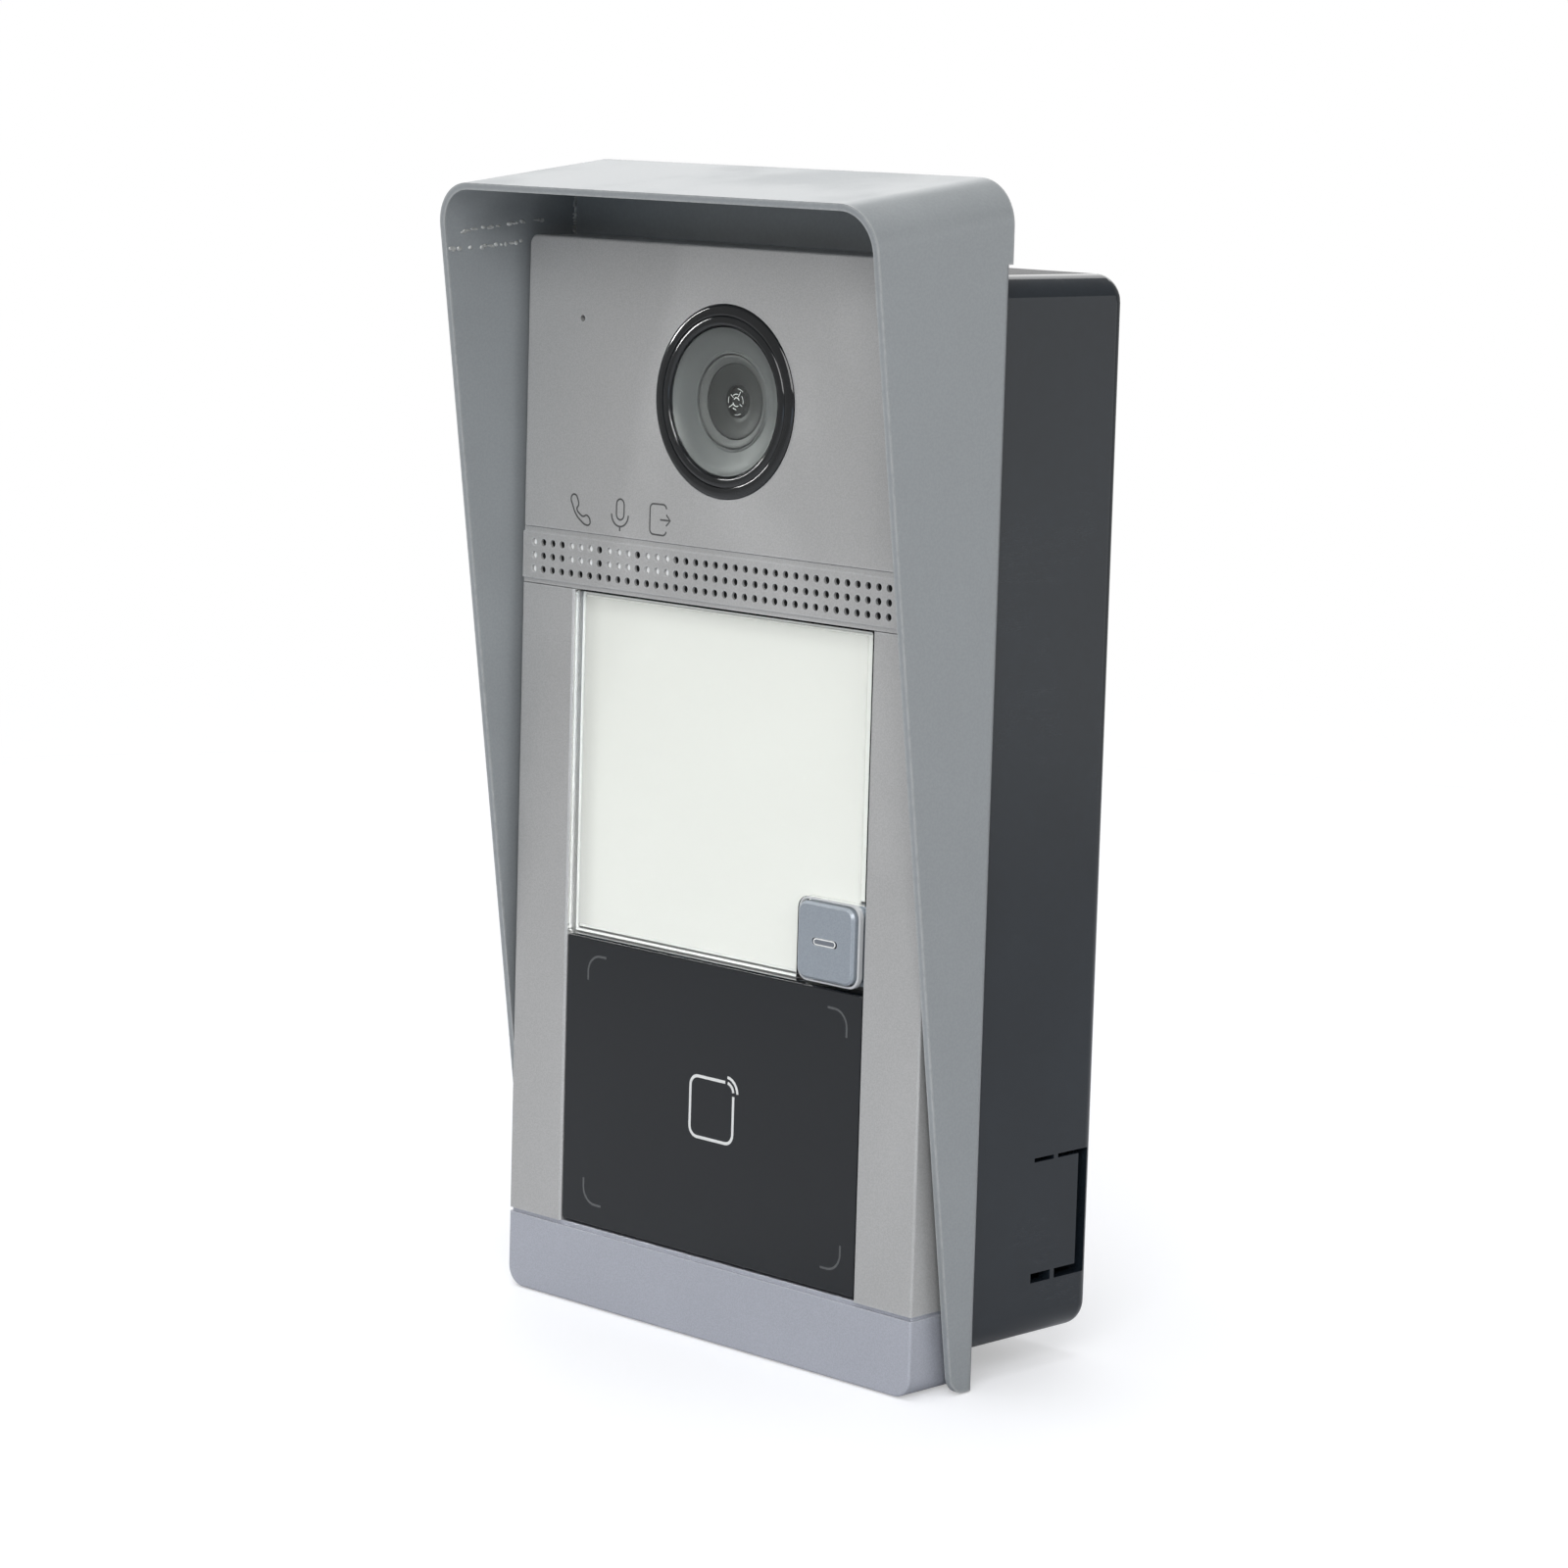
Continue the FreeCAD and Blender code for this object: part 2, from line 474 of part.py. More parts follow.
def grille_strip():
    piece = body("grille_strip")
    level = f"({FACE} - field_rise)"
    add_block(piece, "-station_width / 2", "station_width / 2", "station_low + strip_low",
              "station_low + strip_top", SEAT, level)
    add_block(piece, "-station_width / 2", "station_width / 2", "station_low + field_low",
              "station_low + field_top", level, FACE)
    cut_block(piece, "-station_width / 2 + skin", "station_width / 2 - skin",
              "station_low + strip_low - past", "station_low + strip_top + past", SEAT, f"{FACE} - skin")
    hole = circle(piece, "grille_hole", "-grille_start", "station_low + grille_high", f"{FACE} + past")
    first = feature(piece, "Pocket", hole, "skin + 2 * past")
    doc.recompute()
    grid = piece.newObject("PartDesign::MultiTransform", "grille_grid")
    grid.Originals = [first]
    steps = []
    for axis, count in (("H_Axis", "grille_columns"), ("V_Axis", "grille_rows")):
        step = piece.newObject("PartDesign::LinearPattern", "grille_step")
        step.Direction = (hole, [axis])
        step.Reversed = axis == "V_Axis"
        bind(step, "Length", f"({count} - 1) * grille_pitch")
        bind(step, "Occurrences", count)
        steps.append(step)
    grid.Transformations = steps
    piece.Tip = grid


def lower_frame():
    """The two side rails, joined by a deck behind the name window and the reader window."""
    piece = body("lower_frame")
    low, high = "station_low + frame_low", "station_low + frame_top"
    below, above = f"{low} - past", f"{high} + past"
    add_block(piece, "-station_width / 2", "station_width / 2", low, high, SEAT, FACE)
    cut_block(piece, "-opening_width / 2", "opening_width / 2", below, above, "deck_front", FACE)
    cut_block(piece, "-station_width / 2 + skin", "station_width / 2 - skin", below, above,
              SEAT, "deck_front - deck_thick")
    rail_inner = "(opening_width / 2 + skin)"
    rail_outer = "(station_width / 2 - skin)"
    cut_block(piece, f"-{rail_outer}", f"-{rail_inner}", below, above,
              "deck_front - deck_thick", f"{FACE} - skin")
    cut_block(piece, rail_inner, rail_outer, below, above,
              "deck_front - deck_thick", f"{FACE} - skin")
    cut_block(piece, "button_x - button_well", "button_x + button_well", "button_z - button_well",
              "button_z + button_well", "deck_front - deck_thick - past", "deck_front + past")
    for x, z in light_places:
        cut_disc(piece, "light_hole", x, z, "deck_front - deck_thick - past", "deck_front + past")
    dress(piece, "Fillet", "soft_edge",
          lambda edge: runs_along(edge, "z") and lies_at(edge, face_depth)
          and abs(middle(edge).x) > size("opening_width") / 2 + size("past"))
    dress(piece, "Chamfer", "inner_bevel",
          lambda edge: runs_along(edge, "z") and lies_at(edge, face_depth)
          and abs(middle(edge).x) < size("opening_width") / 2 + ROUGHLY)


def bottom_cover():
    piece = body("bottom_cover")
    high = "station_low + bar_top"
    add_block(piece, "-station_width / 2", "station_width / 2", "station_low", high, SEAT, FACE)
    dress(piece, "Fillet", "bottom_corner",
          lambda edge: runs_along(edge, "y") and abs(middle(edge).z - size("station_low")) < NEAR)
    cut_block(piece, "-station_width / 2 + skin", "station_width / 2 - skin", "station_low + skin",
              f"{high} - skin", SEAT, f"{FACE} - skin")
    cut_block(piece, "-station_width / 2 + skin", "station_width / 2 - skin",
              f"{high} - skin - bar_lip", f"{high} + past", SEAT, "carrier_front + bar_clear")
    add_block(piece, "-boss_half", "boss_half", "station_low + boss_low", "station_low + boss_top",
              f"{SEAT} + boss_rear", f"{FACE} - boss_front")
    for radius, deep in (("lock_bore", "lock_bore_deep"), ("lock_head_bore", "lock_head_deep")):
        bore = circle(piece, radius, "0", "-lock_depth", "station_low - past", "XY_Plane")
        feature(piece, "Pocket", bore, deep).Reversed = True
    dress(piece, "Fillet", "soft_edge", front_rim)


# ---- rear cover -----------------------------------------------------------------------------

def tub_ring(piece, rear, front, floor):
    """The tub's outline, hollowed down to the floor."""
    add_block(piece, "-tub_width / 2", "tub_width / 2", "-tub_height / 2", "tub_height / 2",
              rear, front)
    dress(piece, "Fillet", "box_corner", lambda edge: runs_along(edge, "y"))
    cut_block(piece, "-tub_width / 2 + tub_wall", "tub_width / 2 - tub_wall",
              "-tub_height / 2 + tub_wall", "tub_height / 2 - tub_wall", floor, front)


def rear_cover():
    piece = body("rear_cover")
    front = "(carrier_rear - seal_thick)"
    tub_ring(piece, "tub_rear", front, "tub_rear + tub_wall")
    for x, z in four_corners:
        add_disc(piece, "tub_post", f"{x} * tub_screw_x", f"{z} * tub_screw_z", "tub_rear", front)
    for x, z in four_corners:
        cut_disc(piece, "tub_bore", f"{x} * tub_screw_x", f"{z} * tub_screw_z",
                 "tub_rear - past", f"{front} + past")
        cut_disc(piece, "tub_head_bore", f"{x} * tub_screw_x", f"{z} * tub_screw_z",
                 "tub_rear - past", "tub_rear + tub_head_deep")
    cut_block(piece, "-port_half", "port_half", "port_low", "port_top",
              "tub_rear - past", "tub_rear + tub_wall + past")


def cover_seal():
    tub_ring(body("cover_seal"), "carrier_rear - seal_thick", "carrier_rear",
             "carrier_rear - seal_thick - past")


def rear_cover_screws():
    piece = body("rear_cover_screws")
    for x, z in four_corners:
        place = (f"{x} * tub_screw_x", f"{z} * tub_screw_z")
        add_disc(piece, "tub_screw_head", *place, "tub_rear + tub_screw_inset", "tub_rear + tub_head_deep")
        add_disc(piece, "tub_screw_radius", *place, "tub_rear + tub_head_deep",
                 "carrier_front - tub_screw_short")
    for x, z in four_corners:
        cut_disc(piece, "tub_socket", f"{x} * tub_screw_x", f"{z} * tub_screw_z",
                 "tub_rear", "tub_rear + tub_socket_deep")


# ---- camera ---------------------------------------------------------------------------------

def round_part(label, radius, rear, front, bores=()):
    """A disc on the camera's axis, with (radius, rear, front) bores."""
    piece = body(label)
    add_disc(piece, radius, "0", "camera_z", rear, front)
    for bore_radius, bore_rear, bore_front in bores:
        cut_disc(piece, bore_radius, "0", "camera_z", bore_rear, bore_front)
    return piece


def rim_at(radius, depth):
    def test(edge):
        round_edge = edge.Curve.TypeId == "Part::GeomCircle"
        return round_edge and abs(edge.Curve.Radius - radius) < NEAR and lies_at(edge, depth)
    return test


def camera():
    front = f"({FACE} + camera_rise)"
    ledge = f"({FACE} - ledge_drop)"
    bezel = round_part("camera_bezel", "camera_flange", f"{ledge} - flange_rear", f"{ledge} - flange_front")
    add_disc(bezel, "camera_radius", "0", "camera_z", f"{ledge} - flange_front", front)
    cut_disc(bezel, "window_radius + window_gap", "0", "camera_z", ledge, f"{front} + past")
    cut_disc(bezel, "window_radius - ledge_width", "0", "camera_z",
             f"{ledge} - flange_rear - past", f"{ledge} + past")
    front_depth = face_depth + size("camera_rise")
    dress(bezel, "Fillet", "bezel_round", rim_at(size("camera_radius"), front_depth))
    dress(bezel, "Chamfer", "bezel_bevel",
          rim_at(size("window_radius") + size("window_gap"), front_depth))

    round_part("camera_window", "window_radius", ledge, f"{ledge} + window_thick")
    mask_front = f"({ledge} - mask_gap)"
    mask = round_part("lens_mask", "window_radius - mask_inset", f"{mask_front} - mask_thick", mask_front,
                      [("barrel_radius + camera_gap", f"{mask_front} - mask_thick - past",
                        f"{mask_front} + past")])
    dress(mask, "Chamfer", "mask_bevel",
          rim_at(size("barrel_radius") + size("camera_gap"),
                 face_depth - size("ledge_drop") - size("mask_gap")))
    round_part("lens_barrel", "barrel_radius", "barrel_rear", f"{mask_front} - camera_gap",
               [("element_bore", "element_rear", f"{mask_front} + past"),
                ("stop_radius", "barrel_rear - past", "element_rear + past")])
    retainer = round_part("lens_retainer", "element_bore", "element_front", "retainer_front",
                          [("stop_radius", "element_rear", "retainer_front + past")])
    dress(retainer, "Chamfer", "lens_bevel", rim_at(size("stop_radius"), size("retainer_front")))
    element = round_part("lens_element", "element_radius", "element_rear", "element_front")
    dress(element, "Fillet", "lens_bevel", rim_at(size("element_radius"), size("element_front")))

    def square(piece, make, half, rear, front):
        make(piece, f"-{half}", half, f"camera_z - {half}", f"camera_z + {half}", rear, front)
    holder = body("camera_holder")
    square(holder, add_block, "holder_half", "holder_rear", "holder_front")
    cut_disc(holder, "barrel_radius", "0", "camera_z", "barrel_rear", "holder_front + past")
    square(holder, cut_block, "chip_well", "holder_rear - past", "barrel_rear + past")
    square(body("sensor_board"), add_block, "holder_half", "sensor_board_rear", "holder_rear")
    square(body("image_sensor"), add_block, "chip_half", "holder_rear", "chip_front")


# ---- sound ----------------------------------------------------------------------------------

def microphone():
    boot = body("microphone_boot")
    add_disc(boot, "boot_radius", "mic_x", "mic_z", "carrier_front + board_gap", f"{FACE} - skin")
    cut_disc(boot, "mic_bore", "mic_x", "mic_z", "carrier_front - past", "carrier_front + mic_bore_deep")
    cut_disc(boot, "mic_hole", "mic_x", "mic_z", "carrier_front", f"{FACE}")
    capsule = body("microphone")
    add_disc(capsule, "mic_radius", "mic_x", "mic_z", "carrier_front + mic_rear",
             "carrier_front + mic_front")


def speaker():
    membrane = body("grille_membrane")
    add_block(membrane, "membrane_left", "membrane_right", "station_low + field_low",
              "station_low + field_top", f"{FACE} - skin - membrane_rear", f"{FACE} - skin - membrane_front")

    def centred(piece, make, half_x, half_z, rear, front):
        make(piece, f"speaker_x - {half_x}", f"speaker_x + {half_x}",
             f"speaker_z - {half_z}", f"speaker_z + {half_z}", rear, front)
    frame = body("speaker_frame")
    centred(frame, add_block, "speaker_half_x", "speaker_half_z", "speaker_rear", "speaker_front")
    dress(frame, "Fillet", "speaker_corner", lambda edge: runs_along(edge, "y"))
    centred(frame, cut_block, "basket_half_x", "basket_half_z", "basket_floor", "speaker_front")
    add_disc(body("speaker_magnet"), "magnet_radius", "speaker_x", "speaker_z", "magnet_rear",
             "speaker_rear")
    cone = body("speaker_cone")
    centred(cone, add_block, "cone_half_x", "cone_half_z", "cone_rear", "cone_front")
    add_disc(cone, "dome_radius", "speaker_x", "speaker_z", "cone_front", "dome_front")
    dress(cone, "Fillet", "dome_round", rim_at(size("dome_radius"), size("dome_front")))


# ---- lit windows ----------------------------------------------------------------------------

light_columns = (-22, -8, 6)
light_rows = (-12, 12)
light_places = [(f"{x}", f"{z}") for x in light_columns for z in light_rows]
lit_starts = (4, 8, 12)   # the grille columns where a lit symbol starts, counted from 0
lit_columns = 3
lit_rows = 2


def indicator_light_pipes():
    """A clear moulding: a bar with a pin standing in each lit hole of the grille."""
    piece = body("indicator_light_pipes")
    add_block(piece, "-grille_start - pipe_margin", "-grille_start + pipe_bar_columns * grille_pitch",
              "station_low + field_low + pipe_bar_gap", "station_low + field_top - pipe_bar_gap",
              "pipe_rear", "pipe_bar_front")
    lit = [(0, row) for row in range(size("grille_rows"))]
    lit += [(start + step, row) for start in lit_starts for step in range(lit_columns)
            for row in range(lit_rows)]
    for column, row in lit:
        add_disc(piece, "grille_hole - pipe_gap", f"-grille_start + {column} * grille_pitch",
                 f"station_low + grille_high - {row} * grille_pitch", "pipe_bar_front",
                 f"{FACE} - pipe_inset")


def name_window():
    notch_left = "(button_x - button_width / 2 - notch_margin)"
    notch_top = "(button_z + button_height / 2 + notch_margin)"
    cover = body("name_cover")
    rear = f"({FACE} - cover_recess - cover_thick)"
    add_block(cover, "-glazing_width / 2", "glazing_width / 2", "station_low + cover_low",
              "station_low + cover_top", rear, f"{FACE} - cover_recess")
    cut_block(cover, "button_x - button_width / 2 - button_gap",
              "button_x + button_width / 2 + button_gap",
              "button_z - button_height / 2 - button_gap",
              "button_z + button_height / 2 + button_gap", f"{rear} - past", f"{FACE} + past")
    dress(cover, "Fillet", "button_corner + button_gap",
          lambda edge: runs_along(edge, "y") and abs(middle(edge).x - size("button_x")) < size("button_near")
          and abs(middle(edge).z - size("button_z")) < size("button_near"))
    dress(cover, "Chamfer", "glass_bevel",
          lambda edge: lies_at(edge, face_depth - size("cover_recess"))
          and edge.Curve.TypeId == "Part::GeomLine" and edge.Length > size("long_edge"))
    for label, gap, thick in (("name_card", "card_gap", "card_thick"),
                              ("name_light_guide", "guide_gap", "guide_thick")):
        piece = body(label)
        add_block(piece, "-glazing_width / 2 + card_side", "glazing_width / 2 - card_side",
                  "station_low + cover_low + card_low", "station_low + cover_top - card_top",
                  f"{rear} - {gap} - {thick}", f"{rear} - {gap}")
        cut_block(piece, notch_left, "glazing_width / 2", "station_low + cover_low", notch_top,
                  f"{rear} - {gap} - {thick} - past", f"{rear} - {gap} + past")


def reader():
    window = body("reader_window")
    front = f"({FACE} - reader_recess)"
    add_block(window, "-glazing_width / 2", "glazing_width / 2", "station_low + reader_low",
              "station_low + reader_top", f"{front} - reader_thick", front)
    dress(window, "Chamfer", "glass_bevel",
          lambda edge: lies_at(edge, face_depth - size("reader_recess")))
    antenna = body("reader_antenna")
    board_front = "(deck_front + antenna_thick)"
    add_block(antenna, "-antenna_half", "antenna_half", "station_low + antenna_low",
              "station_low + antenna_top", "deck_front", board_front)
    for turn in range(size("coil_turns")):   # the printed coil stands proud of the board
        side = f"(coil_half - {turn} * coil_pitch)"
        low = f"(station_low + coil_low + {turn} * coil_pitch)"
        high = f"(station_low + coil_top - {turn} * coil_pitch)"
        add_block(antenna, f"-{side}", side, low, high, board_front, f"{board_front} + coil_thick")
        cut_block(antenna, f"-({side} - coil_wide)", f"{side} - coil_wide", f"{low} + coil_wide",
                  f"{high} - coil_wide", board_front, f"{board_front} + coil_thick")


# ---- call button ----------------------------------------------------------------------------

def call_button():
    piece = body("call_button")
    front = f"({FACE} + button_rise)"
    web = f"({front} - button_web)"
    half_wide, half_tall = "button_width / 2", "button_height / 2"
    add_block(piece, f"button_x - {half_wide}", f"button_x + {half_wide}",
              f"button_z - {half_tall}", f"button_z + {half_tall}", "button_rear", front)
    dress(piece, "Fillet", "button_corner", lambda edge: runs_along(edge, "y"))
    add_block(piece, f"button_x - {half_wide} - lip_out", f"button_x + {half_wide} + lip_out",
              f"button_z - {half_tall} - lip_below", f"button_z + {half_tall} + lip_out",
              "lip_rear", "lip_front")
    cut_block(piece, "button_x - button_hollow", "button_x + button_hollow",
              "button_z - button_hollow", "button_z + button_hollow", "button_rear - past", web)
    add_disc(piece, "stem_radius", "button_x", "button_z", "stem_rear", web)
    cut_block(piece, "button_x - bar_width / 2", "button_x + bar_width / 2",
              "button_z - bar_height / 2", "button_z + bar_height / 2", web, f"{front} + past")
    slot_half = (size("bar_width") / 2, size("bar_height") / 2)
    dress(piece, "Fillet", "bar_height / 2 - bar_gap",
          lambda edge: runs_along(edge, "y")
          and abs(abs(middle(edge).x - size("button_x")) - slot_half[0]) < ROUGHLY
          and abs(abs(middle(edge).z - size("button_z")) - slot_half[1]) < ROUGHLY)
    dress(piece, "Chamfer", "button_bevel",
          lambda edge: lies_at(edge, face_depth + size("button_rise"))
          and max(abs(middle(edge).x - size("button_x")),
                  abs(middle(edge).z - size("button_z"))) > size("button_hollow"))

    bar = body("button_light_bar")
    add_block(bar, "button_x - bar_width / 2 + bar_gap", "button_x + bar_width / 2 - bar_gap",
              "button_z - bar_height / 2 + bar_gap", "button_z + bar_height / 2 - bar_gap",
              web, f"{front} - bar_recess")
    dress(bar, "Fillet", "bar_height / 2 - bar_flat", lambda edge: runs_along(edge, "y"))
    plunger = body("switch_plunger")
    add_disc(plunger, "plunger_radius", "button_x", "button_z", "plunger_rear", "stem_rear")
    switch = body("button_switch")
    add_block(switch, "button_x - switch_half", "button_x + switch_half", "button_z - switch_half",
              "button_z + switch_half", "button_board_front", "switch_front")
    cut_disc(switch, "switch_bore", "button_x", "button_z", "switch_floor", "switch_front + past")


# ---- boards ---------------------------------------------------------------------------------

def boards():
    button_board = body("button_board")
    add_block(button_board, "-button_board_half", "button_board_half", "button_board_low",
              "button_board_top", "button_board_rear", "button_board_front")
    lights = body("name_lights")
    for x, z in light_places:
        add_block(lights, f"{x} - lamp_half", f"{x} + lamp_half", f"{z} - lamp_half", f"{z} + lamp_half",
                  "button_board_front", "lamp_front")
    indicator_board = body("indicator_board")
    add_block(indicator_board, "indicator_left", "indicator_right",
              "station_low + strip_low + indicator_gap", "station_low + strip_top - indicator_gap",
              "carrier_front + board_gap", "carrier_front + board_gap + indicator_thick")
    main_board = body("main_board")
    add_block(main_board, "-main_half_x", "main_half_x", "-main_half_z", "main_half_z",
              "main_rear", "main_front")
    shield = body("processor_shield")
    add_block(shield, "shield_left", "shield_right", "shield_low", "shield_top",
              "main_front", "shield_front")
    cut_block(shield, "shield_left + shield_wall", "shield_right - shield_wall",
              "shield_low + shield_wall", "shield_top - shield_wall",
              "main_front", "shield_front - shield_wall")


# ---- terminals ------------------------------------------------------------------------------

def terminals():
    block = body("terminal_block")
    screws = body("terminal_screws")
    ways = [f"{size('terminal_first') + size('terminal_pitch') * way}"
            for way in range(size("terminal_ways"))]
    add_block(block, "-terminal_half", "terminal_half", "terminal_low", "terminal_top",
              "terminal_rear", "main_rear")
    for x in ways:
        cut_disc(block, "wire_hole", x, "wire_z", "terminal_rear - past", "wire_front")
        cut_disc(block, "terminal_screw", x, "terminal_screw_z", "terminal_rear - past",
                 "terminal_screw_front")
        add_disc(screws, "terminal_screw", x, "terminal_screw_z", "terminal_screw_rear",
                 "terminal_screw_front")
    for x in ways:
        cut_block(screws, f"{x} - slot_long", f"{x} + slot_long", "terminal_screw_z - slot_half",
                  "terminal_screw_z + slot_half", "terminal_rear", "terminal_screw_rear + slot_deep")


# ---- tamper contact -------------------------------------------------------------------------

def tamper():
    plunger = body("tamper_plunger")
    add_disc(plunger, "tamper_radius", "tamper_x", "tamper_z",
             f"{SEAT} + bracket_thick + tamper_gap", "tamper_front")
    add_disc(plunger, "tamper_collar", "tamper_x", "tamper_z", "tamper_collar_rear", "tamper_front")
    switch = body("tamper_switch")
    add_block(switch, "tamper_x - tamper_switch_x", "tamper_x + tamper_switch_x",
              "tamper_z - tamper_switch_z", "tamper_z + tamper_switch_z",
              "tamper_switch_rear", "tamper_switch_front")


for make in (wall_box, box_inserts, hood_body, hood_roof, mounting_bracket, box_screws, lock_screw,
             front_carrier, top_plate, grille_strip, lower_frame, bottom_cover, rear_cover,
             cover_seal, rear_cover_screws, camera, microphone, speaker, indicator_light_pipes,
             name_window, reader, call_button, boards, terminals, tamper):
    make()
doc.recompute()

for thing in doc.Objects:
    if "Invalid" in thing.State or "Error" in thing.State:
        raise RuntimeError(f"{thing.Label}: {thing.State}")
os.makedirs("parts", exist_ok=True)
for piece in parts:
    shape = piece.Shape
    if shape.isNull() or not shape.isValid() or not shape.Solids:
        raise RuntimeError(piece.Label + ": no valid solid")
    shape.exportStep(f"parts/{piece.Label}.step")
    box = shape.BoundBox
    print(f"{piece.Label:24s} solids {len(shape.Solids):3d} volume {shape.Volume:10.1f}"
          f"  x {box.XMin:7.2f} {box.XMax:7.2f}  y {box.YMin:7.2f} {box.YMax:7.2f}"
          f"  z {box.ZMin:7.2f} {box.ZMax:7.2f}")
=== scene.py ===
import bpy
import json
import math
import random
from mathutils import Matrix, Vector

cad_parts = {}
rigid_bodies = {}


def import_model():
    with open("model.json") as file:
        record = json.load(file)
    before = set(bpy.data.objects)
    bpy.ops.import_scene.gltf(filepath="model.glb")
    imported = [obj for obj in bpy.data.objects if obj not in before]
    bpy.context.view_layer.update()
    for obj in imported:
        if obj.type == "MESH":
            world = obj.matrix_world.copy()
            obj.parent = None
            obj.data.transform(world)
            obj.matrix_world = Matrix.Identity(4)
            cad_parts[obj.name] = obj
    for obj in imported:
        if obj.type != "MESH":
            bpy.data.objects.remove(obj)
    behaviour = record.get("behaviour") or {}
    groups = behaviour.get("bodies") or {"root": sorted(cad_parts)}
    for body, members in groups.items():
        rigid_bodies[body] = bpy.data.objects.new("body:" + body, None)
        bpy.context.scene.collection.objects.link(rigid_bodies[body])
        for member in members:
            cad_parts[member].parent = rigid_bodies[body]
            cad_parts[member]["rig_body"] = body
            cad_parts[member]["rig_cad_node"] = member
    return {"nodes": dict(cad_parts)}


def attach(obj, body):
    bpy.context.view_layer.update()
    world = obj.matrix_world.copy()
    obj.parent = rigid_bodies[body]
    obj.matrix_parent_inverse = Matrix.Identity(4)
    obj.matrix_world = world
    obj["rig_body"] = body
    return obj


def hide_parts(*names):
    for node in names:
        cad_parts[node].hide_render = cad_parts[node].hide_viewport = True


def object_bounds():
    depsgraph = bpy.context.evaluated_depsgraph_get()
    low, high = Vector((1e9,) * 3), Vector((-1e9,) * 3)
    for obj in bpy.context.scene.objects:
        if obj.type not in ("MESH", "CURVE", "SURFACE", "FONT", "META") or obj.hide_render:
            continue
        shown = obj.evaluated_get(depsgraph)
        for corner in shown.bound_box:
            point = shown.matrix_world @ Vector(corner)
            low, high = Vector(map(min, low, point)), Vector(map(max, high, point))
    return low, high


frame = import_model()
cadBounds = [list(corner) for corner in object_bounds()]
nodes = frame["nodes"]
print("frame loaded,", len(nodes), "CAD nodes")


# places are given as x, depth and z in millimetres; depth runs forward from the wall face
mm = 0.001
sameFace = 0.005  # millimetres between points that still lie on one face
sameLine = 0.01
mergeWithin = 0.004 * mm


def at(x, depth, z):
    return Vector((x, -depth, z)) / 1000


def clearSelection():
    if bpy.context.object and bpy.context.mode != "OBJECT":
        bpy.ops.object.mode_set(mode="OBJECT")
    bpy.ops.object.select_all(action="DESELECT")


def selectOnly(piece):
    clearSelection()
    piece.select_set(True)
    bpy.context.view_layer.objects.active = piece


def named(name):
    piece = bpy.context.active_object
    piece.name = name
    piece.data.name = name
    return piece


def settle(piece):
    selectOnly(piece)  # the place goes into the mesh, the object stays at the origin
    bpy.ops.object.transform_apply(location=True, rotation=True, scale=True)
    return piece


def pickFaces(piece, test):
    selectOnly(piece)
    bpy.ops.object.mode_set(mode="EDIT")
    bpy.ops.mesh.select_mode(type="FACE")
    bpy.ops.mesh.select_all(action="DESELECT")
    bpy.ops.object.mode_set(mode="OBJECT")
    for face in piece.data.polygons:
        face.select = test(face.normal)
    bpy.ops.object.mode_set(mode="EDIT")


def pickEdges(piece, test):
    selectOnly(piece)
    bpy.ops.object.mode_set(mode="EDIT")
    bpy.ops.mesh.select_mode(type="EDGE")
    bpy.ops.mesh.select_all(action="DESELECT")
    bpy.ops.object.mode_set(mode="OBJECT")
    points = piece.data.vertices
    for edge in piece.data.edges:
        a, b = (points[i].co * 1000 for i in edge.vertices)
        edge.select = test(a, b)
    bpy.ops.object.mode_set(mode="EDIT")


def leaveEdit():
    bpy.ops.object.mode_set(mode="OBJECT")


def block(name, low, high):
    clearSelection()
    a, b = at(*low), at(*high)
    bpy.ops.mesh.primitive_cube_add(size=1, location=(a + b) / 2)
    piece = named(name)
    piece.scale = [abs(p - q) for p, q in zip(a, b)]
    return settle(piece)


def alongDepth(a, b):
    return abs(a.x - b.x) < sameLine and abs(a.z - b.z) < sameLine and abs(a.y - b.y) > sameLine


def roundEdges(piece, test, radius, segments):
    pickEdges(piece, test)
    bpy.ops.mesh.bevel(offset=radius * mm, segments=segments, affect="EDGES", clamp_overlap=True)
    leaveEdit()


# a slab from low to high, with rounded corners seen from the front and a rounded front rim
def plate(name, low, high, corner=0, rim=0, cornerSegments=6, rimSegments=3):
    piece = block(name, low, high)
    if corner:
        roundEdges(piece, alongDepth, corner, cornerSegments)
    if rim:
        front = -max(low[1], high[1])
        roundEdges(piece, lambda a, b: max(abs(a.y - front), abs(b.y - front)) < sameFace,
                   rim, rimSegments)
    return piece


# one point drawn out along a row of places
def pointPath(name, places):
    clearSelection()
    bpy.ops.mesh.primitive_plane_add(size=mm, location=places[0])
    piece = settle(named(name))
    bpy.ops.object.mode_set(mode="EDIT")
    bpy.ops.mesh.select_mode(type="VERT")
    bpy.ops.mesh.select_all(action="SELECT")
    bpy.ops.mesh.merge(type="CENTER")
    for a, b in zip(places, places[1:]):
        bpy.ops.mesh.extrude_vertices_move(TRANSFORM_OT_translate={"value": b - a})
    return piece


# a profile of radius and depth, turned about an axis that runs along the depth
def turned(name, centre, profile, steps=96, closed=True):
    x, z = centre
    outline = profile + ([profile[0]] if closed else [])
    piece = pointPath(name, [at(x + radius, depth, z) for radius, depth in outline])
    bpy.ops.mesh.select_all(action="SELECT")
    bpy.ops.mesh.spin(steps=steps, angle=2 * math.pi, center=at(x, 0, z), axis=(0, 1, 0))
    bpy.ops.mesh.select_all(action="SELECT")
    bpy.ops.mesh.remove_doubles(threshold=mergeWithin)
    bpy.ops.mesh.normals_make_consistent(inside=False)
    leaveEdit()
    return piece


